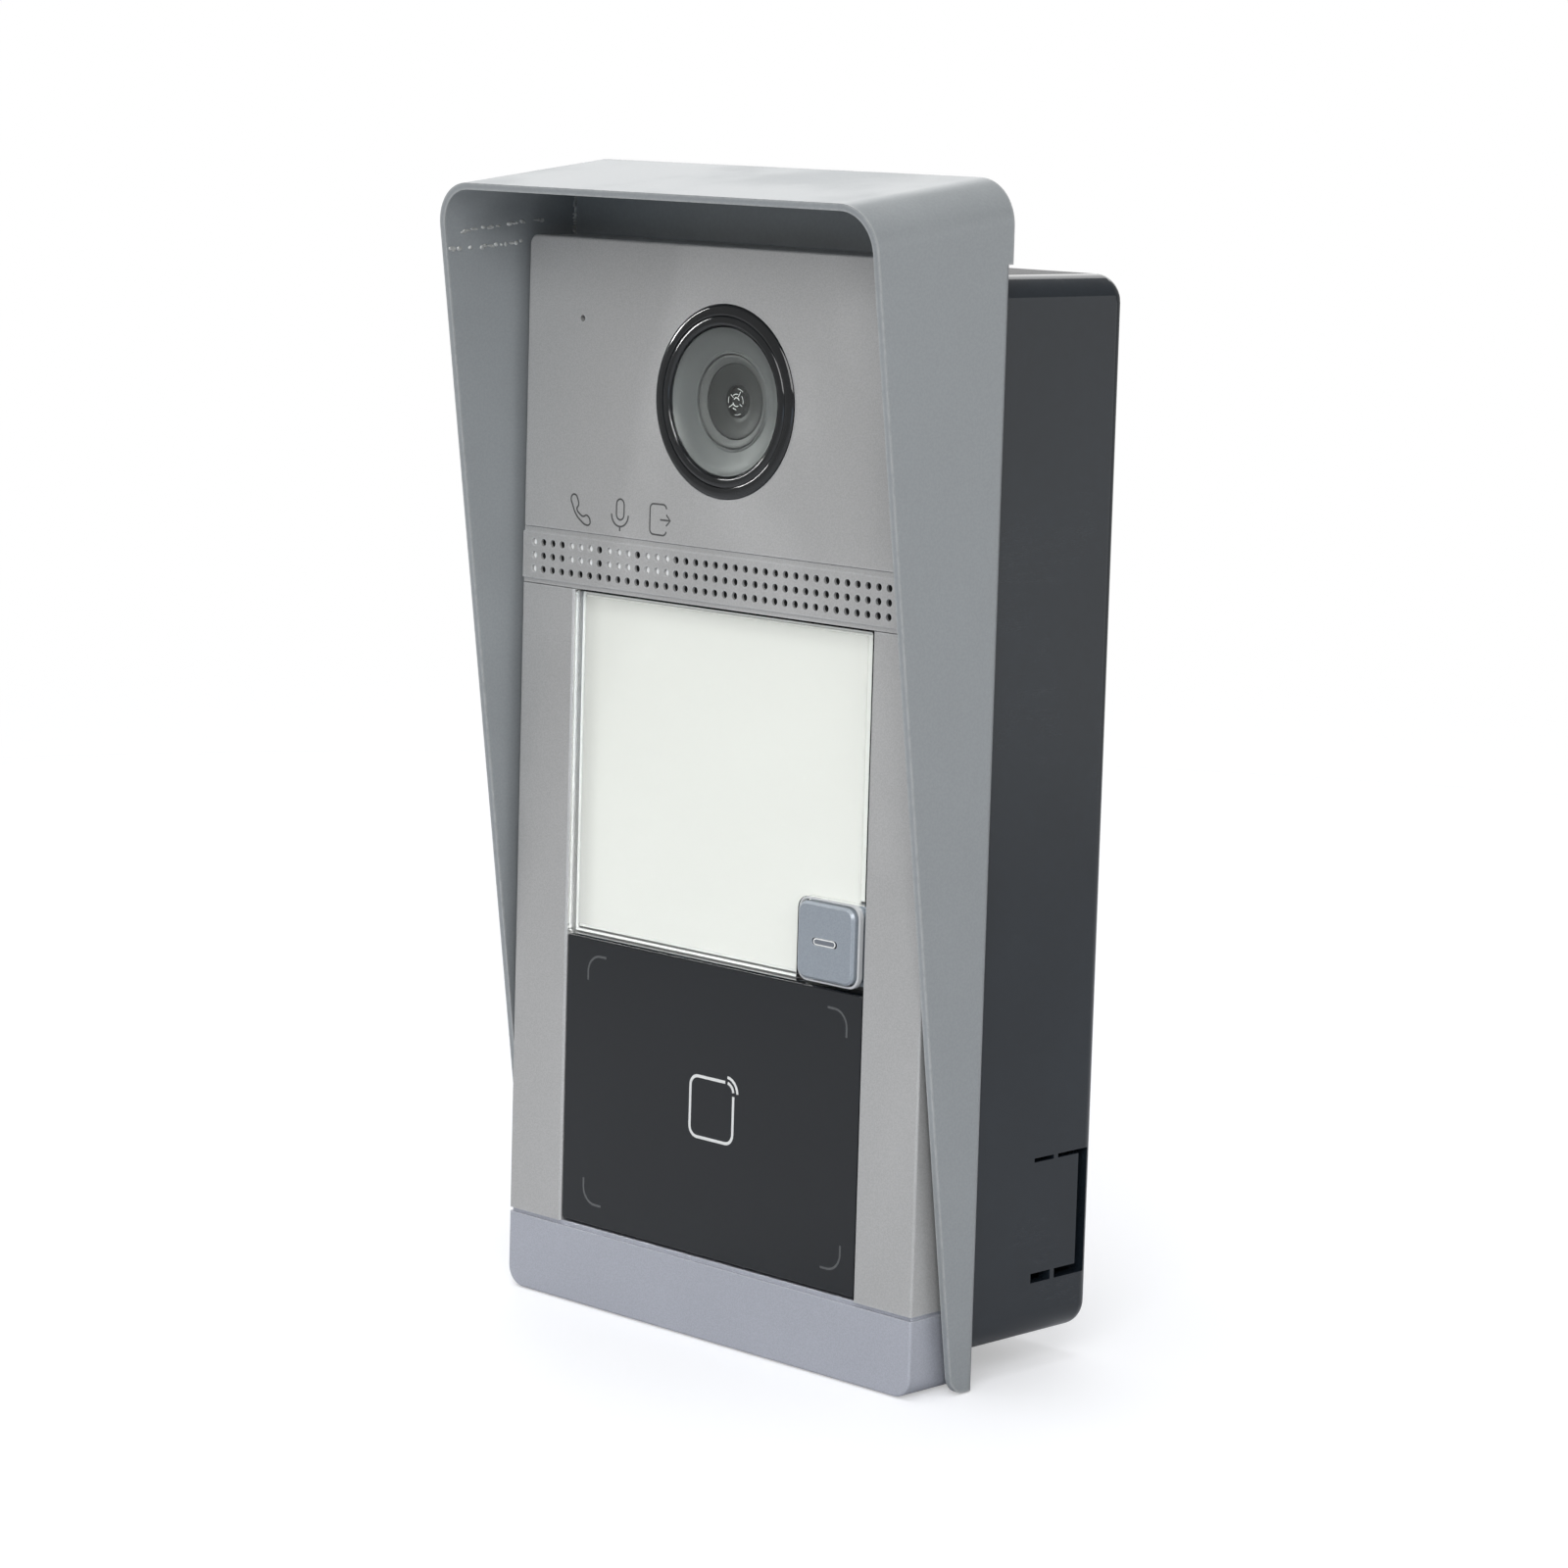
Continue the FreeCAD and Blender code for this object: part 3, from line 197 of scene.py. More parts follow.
def smooth(piece, angle=35):
    selectOnly(piece)
    bpy.ops.object.shade_smooth_by_angle(angle=math.radians(angle))
    # keeps large flat faces flat beside their bevels
    even = piece.modifiers.new("evenNormals", "WEIGHTED_NORMAL")
    even.keep_sharp = True
    bpy.ops.object.modifier_apply(modifier=even.name)
    return piece


def twin(piece):
    copy = piece.copy()
    copy.data = piece.data.copy()
    bpy.context.scene.collection.objects.link(copy)
    return copy


def join(name, pieces):
    clearSelection()
    for piece in pieces:
        piece.select_set(True)
    bpy.context.view_layer.objects.active = pieces[0]
    bpy.ops.object.join()
    return named(name)


def place(piece, material, body="door_station", slotName=None, standsFor=()):
    piece.data.materials.clear()
    piece.data.materials.append(material)
    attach(piece, body)
    if standsFor:
        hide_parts(*standsFor)
    return piece


cameraSettings = {
    "lens": 107.156,
    "sensor": 36,
    "clip": (0.01, 50),
    "place": (468.23, 507.53, 103.59),  # x, depth, z in millimetres
    "azimuth": 44.085,
    "down": 7.521,
    "roll": 1.639,
    "shiftY": -0.0625,
}


def makeCamera(c):
    data = bpy.data.cameras.new("viewCamera")
    data.lens = c["lens"]
    data.sensor_width = c["sensor"]
    data.shift_y = c["shiftY"]
    data.clip_start, data.clip_end = c["clip"]
    camera = bpy.data.objects.new("viewCamera", data)
    bpy.context.scene.collection.objects.link(camera)
    azimuth, down, roll = (math.radians(c[k]) for k in ("azimuth", "down", "roll"))
    level = math.cos(down)
    ahead = Vector((-math.sin(azimuth) * level, math.cos(azimuth) * level, -math.sin(down)))
    across = ahead.cross(Vector((0, 0, 1))).normalized()
    upright = across.cross(ahead)
    right = across * math.cos(roll) + upright * math.sin(roll)
    up = upright * math.cos(roll) - across * math.sin(roll)
    turn = Matrix((right, up, -ahead)).transposed()
    camera.matrix_world = Matrix.Translation(at(*c["place"])) @ turn.to_4x4()
    bpy.context.scene.camera = camera


makeCamera(cameraSettings)
print("camera set")


def newGroup(name, inputs, outputs):
    group = bpy.data.node_groups.new(name, "ShaderNodeTree")
    for socketName, value in inputs.items():
        socket = group.interface.new_socket(socketName, in_out="INPUT", socket_type="NodeSocketFloat")
        socket.default_value = value
    for socketName in outputs:
        group.interface.new_socket(socketName, in_out="OUTPUT", socket_type="NodeSocketFloat")
    entry = group.nodes.new("NodeGroupInput")
    leave = group.nodes.new("NodeGroupOutput")
    return group, entry.outputs, leave.inputs


def node(tree, kind, **values):
    made = tree.nodes.new("ShaderNode" + kind)
    for key, value in values.items():
        setattr(made, key, value)
    return made


def combine(tree, operation, a, b=None):
    made = node(tree, "Math", operation=operation)
    for socket, value in zip(made.inputs, (a, b)):
        if value is None:
            continue
        if isinstance(value, (int, float)):
            socket.default_value = value
        else:
            tree.links.new(value, socket)
    return made.outputs[0]


def ranged(tree, value, low, high, toLow=0.0, toHigh=1.0):
    made = node(tree, "MapRange", interpolation_type="SMOOTHSTEP")
    tree.links.new(value, made.inputs["Value"])
    for key, number in (("From Min", low), ("From Max", high), ("To Min", toLow), ("To Max", toHigh)):
        if isinstance(number, (int, float)):
            made.inputs[key].default_value = number
        else:
            tree.links.new(number, made.inputs[key])
    return made.outputs["Result"]


def noiseOf(tree, place, scale, detail, rough=0.5):
    made = node(tree, "TexNoise")
    tree.links.new(place, made.inputs["Vector"])
    for key, value in (("Scale", scale), ("Detail", detail), ("Roughness", rough)):
        if isinstance(value, (int, float)):
            made.inputs[key].default_value = value
        else:
            tree.links.new(value, made.inputs[key])
    return made.outputs["Fac"]


grainLook = {"coarser": 0.13, "fineShare": 0.7, "coarseShare": 0.3, "detail": 2.0, "fineRough": 0.6,
             "shade": (0.3, 0.7)}


def makeGrain(g):
    group, given, out = newGroup("surfaceGrain", {"Scale": 3000.0}, ["Height", "Shade"])
    place = node(group, "TexCoord").outputs["Object"]
    fine = noiseOf(group, place, given["Scale"], g["detail"], g["fineRough"])
    coarseScale = combine(group, "MULTIPLY", given["Scale"], g["coarser"])
    coarse = noiseOf(group, place, coarseScale, g["detail"])
    blend = combine(group, "ADD", combine(group, "MULTIPLY", fine, g["fineShare"]),
                    combine(group, "MULTIPLY", coarse, g["coarseShare"]))
    group.links.new(blend, out["Height"])
    group.links.new(ranged(group, fine, *g["shade"]), out["Shade"])
    return group


patchLook = {"detail": 4.0, "rough": 0.55}


def makePatches(p):
    inputs = {"Scale": 40.0, "Low": 0.4, "High": 0.7}
    group, given, out = newGroup("softPatches", inputs, ["Mask"])
    place = node(group, "TexCoord").outputs["Object"]
    cloud = noiseOf(group, place, given["Scale"], p["detail"], p["rough"])
    group.links.new(ranged(group, cloud, given["Low"], given["High"]), out["Mask"])
    return group


# where the rounded normal leaves the flat one by this much, the edge is fully worn
wearLook = {"samples": 6, "flat": 1.0, "turned": 0.9, "detail": 3.0, "rough": 0.6, "clouds": (0.3, 0.6),
            "kept": (0.35, 1.0)}


def makeEdgeWear(w):
    inputs = {"Radius": 0.0005, "Break": 900.0, "Amount": 1.0}
    group, given, out = newGroup("edgeWear", inputs, ["Mask"])
    place = node(group, "TexCoord").outputs["Object"]
    rounded = node(group, "Bevel", samples=w["samples"])
    group.links.new(given["Radius"], rounded.inputs["Radius"])
    agree = node(group, "VectorMath", operation="DOT_PRODUCT")
    group.links.new(rounded.outputs["Normal"], agree.inputs[0])
    group.links.new(node(group, "NewGeometry").outputs["Normal"], agree.inputs[1])
    turn = ranged(group, agree.outputs["Value"], w["flat"], w["turned"])
    clouds = noiseOf(group, place, given["Break"], w["detail"], w["rough"])
    broken = ranged(group, clouds, *w["clouds"], *w["kept"])
    mask = combine(group, "MULTIPLY", combine(group, "MULTIPLY", turn, broken), given["Amount"])
    group.links.new(mask, out["Mask"])
    return group


dustLook = {"upward": (0.3, 1.0), "detail": 5.0, "rough": 0.7, "specks": (0.5, 0.72)}


def makeDust(d):
    group, given, out = newGroup("restingDust", {"Scale": 500.0, "Amount": 0.3}, ["Mask"])
    place = node(group, "TexCoord").outputs["Object"]
    split = node(group, "SeparateXYZ")
    group.links.new(node(group, "NewGeometry").outputs["Normal"], split.inputs[0])
    upward = ranged(group, split.outputs["Z"], *d["upward"])
    clouds = noiseOf(group, place, given["Scale"], d["detail"], d["rough"])
    specks = ranged(group, clouds, *d["specks"])
    mask = combine(group, "MULTIPLY", combine(group, "MULTIPLY", upward, specks), given["Amount"])
    group.links.new(mask, out["Mask"])
    return group


scuffLook = {"stretch": (1.0, 1.0, 9.0), "turn": (0.4, 0.7, 0.3), "detail": 5.0, "rough": 0.65,
             "middle": 0.5, "width": 0.012, "whereScale": 45.0, "whereDetail": 2.0, "where": (0.52, 0.68)}


def makeScuffs(s):
    group, given, out = newGroup("fineScuffs", {"Scale": 60.0, "Amount": 0.5}, ["Mask"])
    place = node(group, "TexCoord").outputs["Object"]
    stretch = node(group, "Mapping")
    stretch.inputs["Scale"].default_value = s["stretch"]
    stretch.inputs["Rotation"].default_value = s["turn"]
    group.links.new(place, stretch.inputs["Vector"])
    lines = noiseOf(group, stretch.outputs["Vector"], given["Scale"], s["detail"], s["rough"])
    offLine = combine(group, "ABSOLUTE", combine(group, "SUBTRACT", lines, s["middle"]))
    thin = ranged(group, offLine, s["width"], 0.0)
    where = ranged(group, noiseOf(group, place, s["whereScale"], s["whereDetail"]), *s["where"])
    mask = combine(group, "MULTIPLY", combine(group, "MULTIPLY", thin, where), given["Amount"])
    group.links.new(mask, out["Mask"])
    return group


groups = {
    "grain": makeGrain(grainLook),
    "patches": makePatches(patchLook),
    "wear": makeEdgeWear(wearLook),
    "dust": makeDust(dustLook),
    "scuffs": makeScuffs(scuffLook),
}


def use(tree, which, **values):
    made = tree.nodes.new("ShaderNodeGroup")
    made.node_tree = groups[which]
    for key, value in values.items():
        made.inputs[key].default_value = value
    return made.outputs


def mixColour(tree, factor, a, b, way="MIX"):
    made = node(tree, "Mix", data_type="RGBA", blend_type=way)
    sockets = [s for s in made.inputs if s.enabled]
    for socket, value in zip(sockets, (factor, a, b)):
        if isinstance(value, bpy.types.NodeSocket):
            tree.links.new(value, socket)
        elif isinstance(value, (int, float)):
            socket.default_value = value
        else:
            socket.default_value = (*value, 1.0)
    return next(s for s in made.outputs if s.enabled)


def newMaterial(name, colour, roughness, metallic=0.0, **more):
    material = bpy.data.materials.new(name)
    material.use_nodes = True
    tree = material.node_tree
    shader = next(n for n in tree.nodes if n.type == "BSDF_PRINCIPLED")
    shader.inputs["Base Color"].default_value = (*colour, 1.0)
    shader.inputs["Roughness"].default_value = roughness
    shader.inputs["Metallic"].default_value = metallic
    for key, value in more.items():
        shader.inputs[key.replace("_", " ")].default_value = value
    return material, tree, shader


# lets the seen shader through where the factor is 0 and a transparent one where it is 1
def fadeOut(tree, shader, factor, colour=(1.0, 1.0, 1.0)):
    through = node(tree, "BsdfTransparent")
    through.inputs["Color"].default_value = (*colour, 1.0)
    blend = node(tree, "MixShader")
    out = next(n for n in tree.nodes if n.type == "OUTPUT_MATERIAL")
    tree.links.new(factor, blend.inputs[0])
    tree.links.new(shader.outputs[0], blend.inputs[1])
    tree.links.new(through.outputs[0], blend.inputs[2])
    tree.links.new(blend.outputs[0], out.inputs["Surface"])


def bump(tree, shader, height, distance, strength=1.0):
    made = node(tree, "Bump")
    made.inputs["Distance"].default_value = distance
    made.inputs["Strength"].default_value = strength
    tree.links.new(height, made.inputs["Height"])
    tree.links.new(made.outputs["Normal"], shader.inputs["Normal"])


# what a finish has where its own entry says nothing else
plainFinish = {"metallic": 0.0, "grainScale": 3000.0, "patchScale": 35.0, "variation": 0.08, "fleck": 0.03,
               "wear": 0, "wearRadius": 0.0005, "dust": 0, "dustColour": (0.55, 0.54, 0.52),
               "scuffs": 0, "scuffColour": (0.3, 0.3, 0.31), "roughSpread": 0.05,
               "bump": 0.00001, "bumpStrength": 0.5}
middleGrey = 0.5


# a painted, moulded or plated surface: colour varied by patches and grain, worn edges, dust on top
def finishedSurface(name, own):
    f = {**plainFinish, **own}
    material, tree, shader = newMaterial(name, f["colour"], f["roughness"], f["metallic"])
    grain = use(tree, "grain", Scale=f["grainScale"])
    patches = use(tree, "patches", Scale=f["patchScale"])
    darker = [c * (1 - f["variation"]) for c in f["colour"]]
    lighter = [min(1.0, c * (1 + f["variation"])) for c in f["colour"]]
    colour = mixColour(tree, patches["Mask"], darker, lighter)
    fleck = mixColour(tree, grain["Shade"], (middleGrey - f["fleck"],) * 3, (middleGrey + f["fleck"],) * 3)
    colour = mixColour(tree, 1.0, colour, fleck, "OVERLAY")
    if f["wear"]:
        wear = use(tree, "wear", Radius=f["wearRadius"], Amount=f["wear"])
        colour = mixColour(tree, wear["Mask"], colour, f["wearColour"])
    if f["dust"]:
        dust = use(tree, "dust", Amount=f["dust"])
        colour = mixColour(tree, dust["Mask"], colour, f["dustColour"])
    if f["scuffs"]:
        scuffs = use(tree, "scuffs", Amount=f["scuffs"])
        colour = mixColour(tree, scuffs["Mask"], colour, f["scuffColour"])
    tree.links.new(colour, shader.inputs["Base Color"])
    smoothest, roughest = f["roughness"] - f["roughSpread"], f["roughness"] + f["roughSpread"]
    roughness = ranged(tree, patches["Mask"], 0.0, 1.0, smoothest, roughest)
    tree.links.new(roughness, shader.inputs["Roughness"])
    bump(tree, shader, grain["Height"], f["bump"], f["bumpStrength"])
    return material


finishes = {
    "hoodPaint": {"colour": (0.3, 0.32, 0.332), "roughness": 0.36, "metallic": 0.2,
                  "grainScale": 2600.0, "bump": 0.000012, "variation": 0.025, "fleck": 0.018,
                  "wear": 0.75, "wearRadius": 0.0007, "wearColour": (0.47, 0.48, 0.48), "dust": 0.05},
    "stationPaint": {"colour": (0.44, 0.44, 0.436), "roughness": 0.4, "metallic": 0.3,
                     "grainScale": 4200.0, "bump": 0.00001, "variation": 0.02, "fleck": 0.04,
                     "wear": 0.6, "wearRadius": 0.0004, "wearColour": (0.6, 0.61, 0.62)},
    # the bottom bar's copy of the station paint: its bluer colour and edges are painted light, the blue bounce
    # from the floor below
    "stationPaintBlueBounce": {"colour": (0.42, 0.435, 0.485), "roughness": 0.4, "metallic": 0.3,
                         "grainScale": 4200.0, "bump": 0.00001, "variation": 0.02, "fleck": 0.04,
                         "wear": 0.6, "wearRadius": 0.0004, "wearColour": (0.6, 0.61, 0.64)},
    # dark plastic whose blue tint is painted light, the blue bounce from below
    "boxPlasticBlueBounce": {"colour": (0.0115, 0.0165, 0.0225), "roughness": 0.11, "grainScale": 700.0,
                   "bump": 0.00001, "variation": 0.12, "roughSpread": 0.04, "scuffs": 0.035,
                   "dust": 0.02, "patchScale": 22.0, "bumpStrength": 0.12},
    "bracketSteel": {"colour": (0.55, 0.56, 0.57), "roughness": 0.35, "metallic": 0.95,
                     "grainScale": 1500.0, "variation": 0.1, "wear": 0.4,
                     "wearColour": (0.8, 0.8, 0.8)},
    "screwSteel": {"colour": (0.6, 0.6, 0.61), "roughness": 0.28, "metallic": 1.0, "grainScale": 3500.0,
                   "variation": 0.1, "wear": 0.5, "wearColour": (0.8, 0.8, 0.8)},
    "insertBrass": {"colour": (0.72, 0.52, 0.22), "roughness": 0.3, "metallic": 1.0,
                    "grainScale": 3500.0, "variation": 0.12},
    "carrierPlastic": {"colour": (0.035, 0.036, 0.04), "roughness": 0.5, "grainScale": 2500.0,
                       "bump": 0.00003, "variation": 0.15, "dust": 0.1, "wear": 0.2,
                       "wearColour": (0.09, 0.09, 0.095)},
    "sealRubber": {"colour": (0.02, 0.02, 0.021), "roughness": 0.75, "grainScale": 1800.0,
                   "bump": 0.00004, "variation": 0.2},
    "bezelBlack": {"colour": (0.014, 0.015, 0.016), "roughness": 0.06, "grainScale": 900.0,
                   "bump": 0.000004, "variation": 0.2, "roughSpread": 0.03, "scuffs": 0.15,
                   "bumpStrength": 0.2},
    "maskGrey": {"colour": (0.09, 0.095, 0.094), "roughness": 0.42, "grainScale": 3500.0,
                 "variation": 0.05},
    "lensBlack": {"colour": (0.011, 0.0125, 0.012), "roughness": 0.4, "grainScale": 3500.0,
                  "variation": 0.1},
    "circuitBoard": {"colour": (0.012, 0.09, 0.035), "roughness": 0.35, "grainScale": 900.0,
                     "variation": 0.2},
    "chipBlack": {"colour": (0.02, 0.02, 0.021), "roughness": 0.45, "grainScale": 4000.0,
                  "variation": 0.1},
    "speakerBlack": {"colour": (0.025, 0.025, 0.026), "roughness": 0.5, "grainScale": 2500.0,
                     "variation": 0.1},
    "conePaper": {"colour": (0.05, 0.048, 0.045), "roughness": 0.8, "grainScale": 1500.0,
                  "bump": 0.00005, "variation": 0.15},
    "magnetIron": {"colour": (0.35, 0.35, 0.36), "roughness": 0.4, "metallic": 1.0,
                   "grainScale": 2200.0, "variation": 0.15},
    # black of the membrane, also used on the cups in the speaker holes, where it is painted shade
    "membraneAndHoleShadeBlack": {"colour": (0.01, 0.01, 0.01), "roughness": 0.85, "grainScale": 2600.0,
                      "bump": 0.00005},
    "shieldTin": {"colour": (0.6, 0.6, 0.58), "roughness": 0.3, "metallic": 1.0, "grainScale": 1200.0,
                  "variation": 0.08},
    "terminalGreen": {"colour": (0.03, 0.22, 0.08), "roughness": 0.42, "grainScale": 2500.0,
                      "variation": 0.08},
    "plungerWhite": {"colour": (0.6, 0.6, 0.58), "roughness": 0.4, "grainScale": 2500.0,
                     "variation": 0.04},
    "buttonPaint": {"colour": (0.305, 0.34, 0.38), "roughness": 0.38, "metallic": 0.2,
                    "grainScale": 4200.0, "variation": 0.02, "fleck": 0.03, "wear": 0.5,
                    "wearRadius": 0.0003, "wearColour": (0.55, 0.58, 0.63)},
    "readerBlack": {"colour": (0.0025, 0.0045, 0.0068), "roughness": 0.07, "grainScale": 500.0,
                    "bump": 0.000002, "variation": 0.1, "roughSpread": 0.02, "bumpStrength": 0.04,
                    "patchScale": 20.0},
    # weld beads: their light grey, well above the hood paint, is a painted highlight on the bead ridges
    "weldRoughHighlight": {"colour": (0.56, 0.57, 0.56), "roughness": 0.5, "metallic": 0.3, "grainScale": 2600.0,
                  "bump": 0.00006, "variation": 0.25, "patchScale": 400.0},
    "barrelGrey": {"colour": (0.075, 0.078, 0.076), "roughness": 0.42, "grainScale": 3500.0,
                   "variation": 0.06},
    "inkWhite": {"colour": (0.72, 0.73, 0.72), "roughness": 0.5, "grainScale": 3500.0,
                 "variation": 0.03},
    "inkFaint": {"colour": (0.085, 0.09, 0.093), "roughness": 0.5, "grainScale": 3500.0,
                 "variation": 0.1},
    "inkDark": {"colour": (0.07, 0.07, 0.07), "roughness": 0.6, "grainScale": 3500.0, "variation": 0.1},
}
materials = {name: finishedSurface(name, f) for name, f in finishes.items()}


# the light behind the name card fades towards its left and top edges, in millimetres
cardFade = {"left": -29.0, "leftRun": 4, "leftLevel": 0.8, "top": 25.75, "topRun": 3, "topLevel": 0.88}
litLook = {"patchScale": 25.0, "patches": (0.25, 0.8), "shade": 0.985, "grainScale": 2500.0, "bump": 0.000008}


# a colour that also glows in that colour; on the card, light guide, rib, surround, glint lines and pipes the
# glow is painted light
def litSurface(name, s):
    colour = s["colour"]
    material, tree, shader = newMaterial(name, colour, s["roughness"])
    low, high = litLook["patches"]
    patches = use(tree, "patches", Scale=litLook["patchScale"], Low=low, High=high)
    shade = mixColour(tree, patches["Mask"], [c * litLook["shade"] for c in colour], colour)
    if "fade" in s:
        fade = s["fade"]
        split = node(tree, "SeparateXYZ")
        tree.links.new(node(tree, "TexCoord").outputs["Object"], split.inputs[0])
        left = ranged(tree, split.outputs["X"], fade["left"] * mm, (fade["left"] + fade["leftRun"]) * mm,
                      fade["leftLevel"], 1.0)
        top = ranged(tree, split.outputs["Z"], fade["top"] * mm, (fade["top"] - fade["topRun"]) * mm,
                     fade["topLevel"], 1.0)
        shade = mixColour(tree, combine(tree, "MULTIPLY", left, top), [0.0, 0.0, 0.0], shade)
    tree.links.new(shade, shader.inputs["Base Color"])
    tree.links.new(shade, shader.inputs["Emission Color"])
    shader.inputs["Emission Strength"].default_value = s["glow"]
    grain = use(tree, "grain", Scale=litLook["grainScale"])
    bump(tree, shader, grain["Height"], litLook["bump"])
    return material


clearLook = {"patchScale": 90.0, "patches": (0.35, 0.8), "haze": 0.02, "shadow": 0.9}


def clearSurface(name, s):
    material, tree, shader = newMaterial(name, s["colour"], s["roughness"], Transmission_Weight=1.0,
                                         IOR=s["ior"])
    low, high = clearLook["patches"]
    haze = use(tree, "patches", Scale=clearLook["patchScale"], Low=low, High=high)
    roughness = ranged(tree, haze["Mask"], 0.0, 1.0, s["roughness"], s["roughness"] + clearLook["haze"])
    tree.links.new(roughness, shader.inputs["Roughness"])
    shadow = node(tree, "LightPath").outputs["Is Shadow Ray"]
    fadeOut(tree, shader, shadow, [clearLook["shadow"] * c for c in s["colour"]])
    return material


litSurfaces = {
    # the card's and the light guide's glow is painted backlight
    "cardWhiteAndBacklight": {"colour": (0.30, 0.304, 0.291), "glow": 1.6, "roughness": 0.5, "fade": cardFade},
    "guideMilkyAndBacklight": {"colour": (0.75, 0.76, 0.74), "glow": 0.2, "roughness": 0.4},
    "barTranslucent": {"colour": (0.16, 0.175, 0.2), "glow": 0.0, "roughness": 0.2},
    # white and glow of the rib and of the light bar's rim: a painted highlight
    "ribWhiteHighlight": {"colour": (0.66, 0.67, 0.66), "glow": 0.25, "roughness": 0.2},
    # the surround's white and glow: a painted highlight, the button's bright outline
    "surroundWhiteHighlight": {"colour": (0.46, 0.47, 0.48), "glow": 0.12, "roughness": 0.2},
    # colour and glow of the glint lines: a painted glint
    "lensGlintLight": {"colour": (0.6, 0.63, 0.61), "glow": 0.3, "roughness": 0.2},
    # the pipes' glow is a painted highlight on the clear pins
    "pipeClearHighlight": {"colour": (0.82, 0.83, 0.83), "glow": 0.15, "roughness": 0.12},
}
clearSurfaces = {
    "coverClear": {"colour": (0.97, 0.98, 0.97), "roughness": 0.03, "ior": 1.49},
    "windowClear": {"colour": (0.96, 0.98, 0.97), "roughness": 0.02, "ior": 1.45},
    "lensGlass": {"colour": (0.42, 0.44, 0.42), "roughness": 0.02, "ior": 1.5},
}
materials.update((name, litSurface(name, s)) for name, s in litSurfaces.items())
materials.update((name, clearSurface(name, s)) for name, s in clearSurfaces.items())
print("materials made:", len(materials))


nodeFinish = {
    "boxPlasticBlueBounce": ["wall_box"],
    "insertBrass": ["box_inserts"],
    "hoodPaint": ["hood_body", "hood_roof"],
    "bracketSteel": ["mounting_bracket"],
    "screwSteel": ["box_screws", "lock_screw", "rear_cover_screws", "terminal_screws"],
    "carrierPlastic": ["front_carrier", "rear_cover", "camera_holder", "microphone_boot"],
    "stationPaint": ["top_plate", "grille_strip", "lower_frame"],
    "stationPaintBlueBounce": ["bottom_cover"],
    "sealRubber": ["cover_seal"],
    "bezelBlack": ["camera_bezel"],
    "windowClear": ["camera_window"],
    "maskGrey": ["lens_mask"],
    "lensBlack": ["lens_barrel", "lens_retainer"],
    "lensGlass": ["lens_element"],
    "circuitBoard": ["sensor_board", "button_board", "indicator_board", "main_board", "reader_antenna"],
    "chipBlack": ["image_sensor", "microphone", "button_switch", "tamper_switch"],
    "membraneAndHoleShadeBlack": ["grille_membrane"],
    "speakerBlack": ["speaker_frame"],
    "magnetIron": ["speaker_magnet"],
    "conePaper": ["speaker_cone"],
    "pipeClearHighlight": ["indicator_light_pipes"],
    "coverClear": ["name_cover"],
    "cardWhiteAndBacklight": ["name_card"],
    "guideMilkyAndBacklight": ["name_light_guide", "name_lights"],
    "readerBlack": ["reader_window"],
    "buttonPaint": ["call_button"],
    "barTranslucent": ["button_light_bar"],
    "plungerWhite": ["switch_plunger", "tamper_plunger"],
    "shieldTin": ["processor_shield"],
    "terminalGreen": ["terminal_block"],
}
for finish, members in nodeFinish.items():
    for member in members:
        mesh = nodes[member].data
        mesh.materials.clear()
        mesh.materials.append(materials[finish])
print("finishes given to the CAD nodes")


def carve(piece, tool, operation="DIFFERENCE"):
    selectOnly(piece)
    cut = piece.modifiers.new("cut", "BOOLEAN")
    cut.operation = operation
    cut.solver = "EXACT"
    cut.object = tool
    bpy.ops.object.modifier_apply(modifier="cut")
    bpy.data.objects.remove(tool)
    return piece


copyWithin = 0.002 * mm
flatWithin = math.radians(0.5)


def dissolveFlat(piece, distance):
    selectOnly(piece)
    bpy.ops.object.mode_set(mode="EDIT")
    bpy.ops.mesh.select_all(action="SELECT")
    bpy.ops.mesh.remove_doubles(threshold=distance)
    bpy.ops.mesh.dissolve_limited(angle_limit=flatWithin)
    leaveEdit()


def mergedCopy(name, source):
    selectOnly(nodes[source])
    bpy.ops.object.duplicate()
    copy = named(name)
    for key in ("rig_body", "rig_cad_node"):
        if key in copy:
            del copy[key]
    copy.parent = None
    dissolveFlat(copy, copyWithin)
    return copy


def softenEdges(piece, width, segments=2, angle=40):
    selectOnly(piece)
    soft = piece.modifiers.new("softEdges", "BEVEL")
    soft.width = width * mm
    soft.segments = segments
    soft.limit_method = "ANGLE"
    soft.angle_limit = math.radians(angle)
    soft.miter_outer = "MITER_ARC"
    bpy.ops.object.modifier_apply(modifier=soft.name)


def onCircle(centre, radius, degrees):
    turn = math.radians(degrees)
    return (centre[0] + radius * math.cos(turn), centre[1] + radius * math.sin(turn))


def arc(centre, radius, start, stop, steps=6):
    return [onCircle(centre, radius, start + (stop - start) * i / steps) for i in range(steps + 1)]


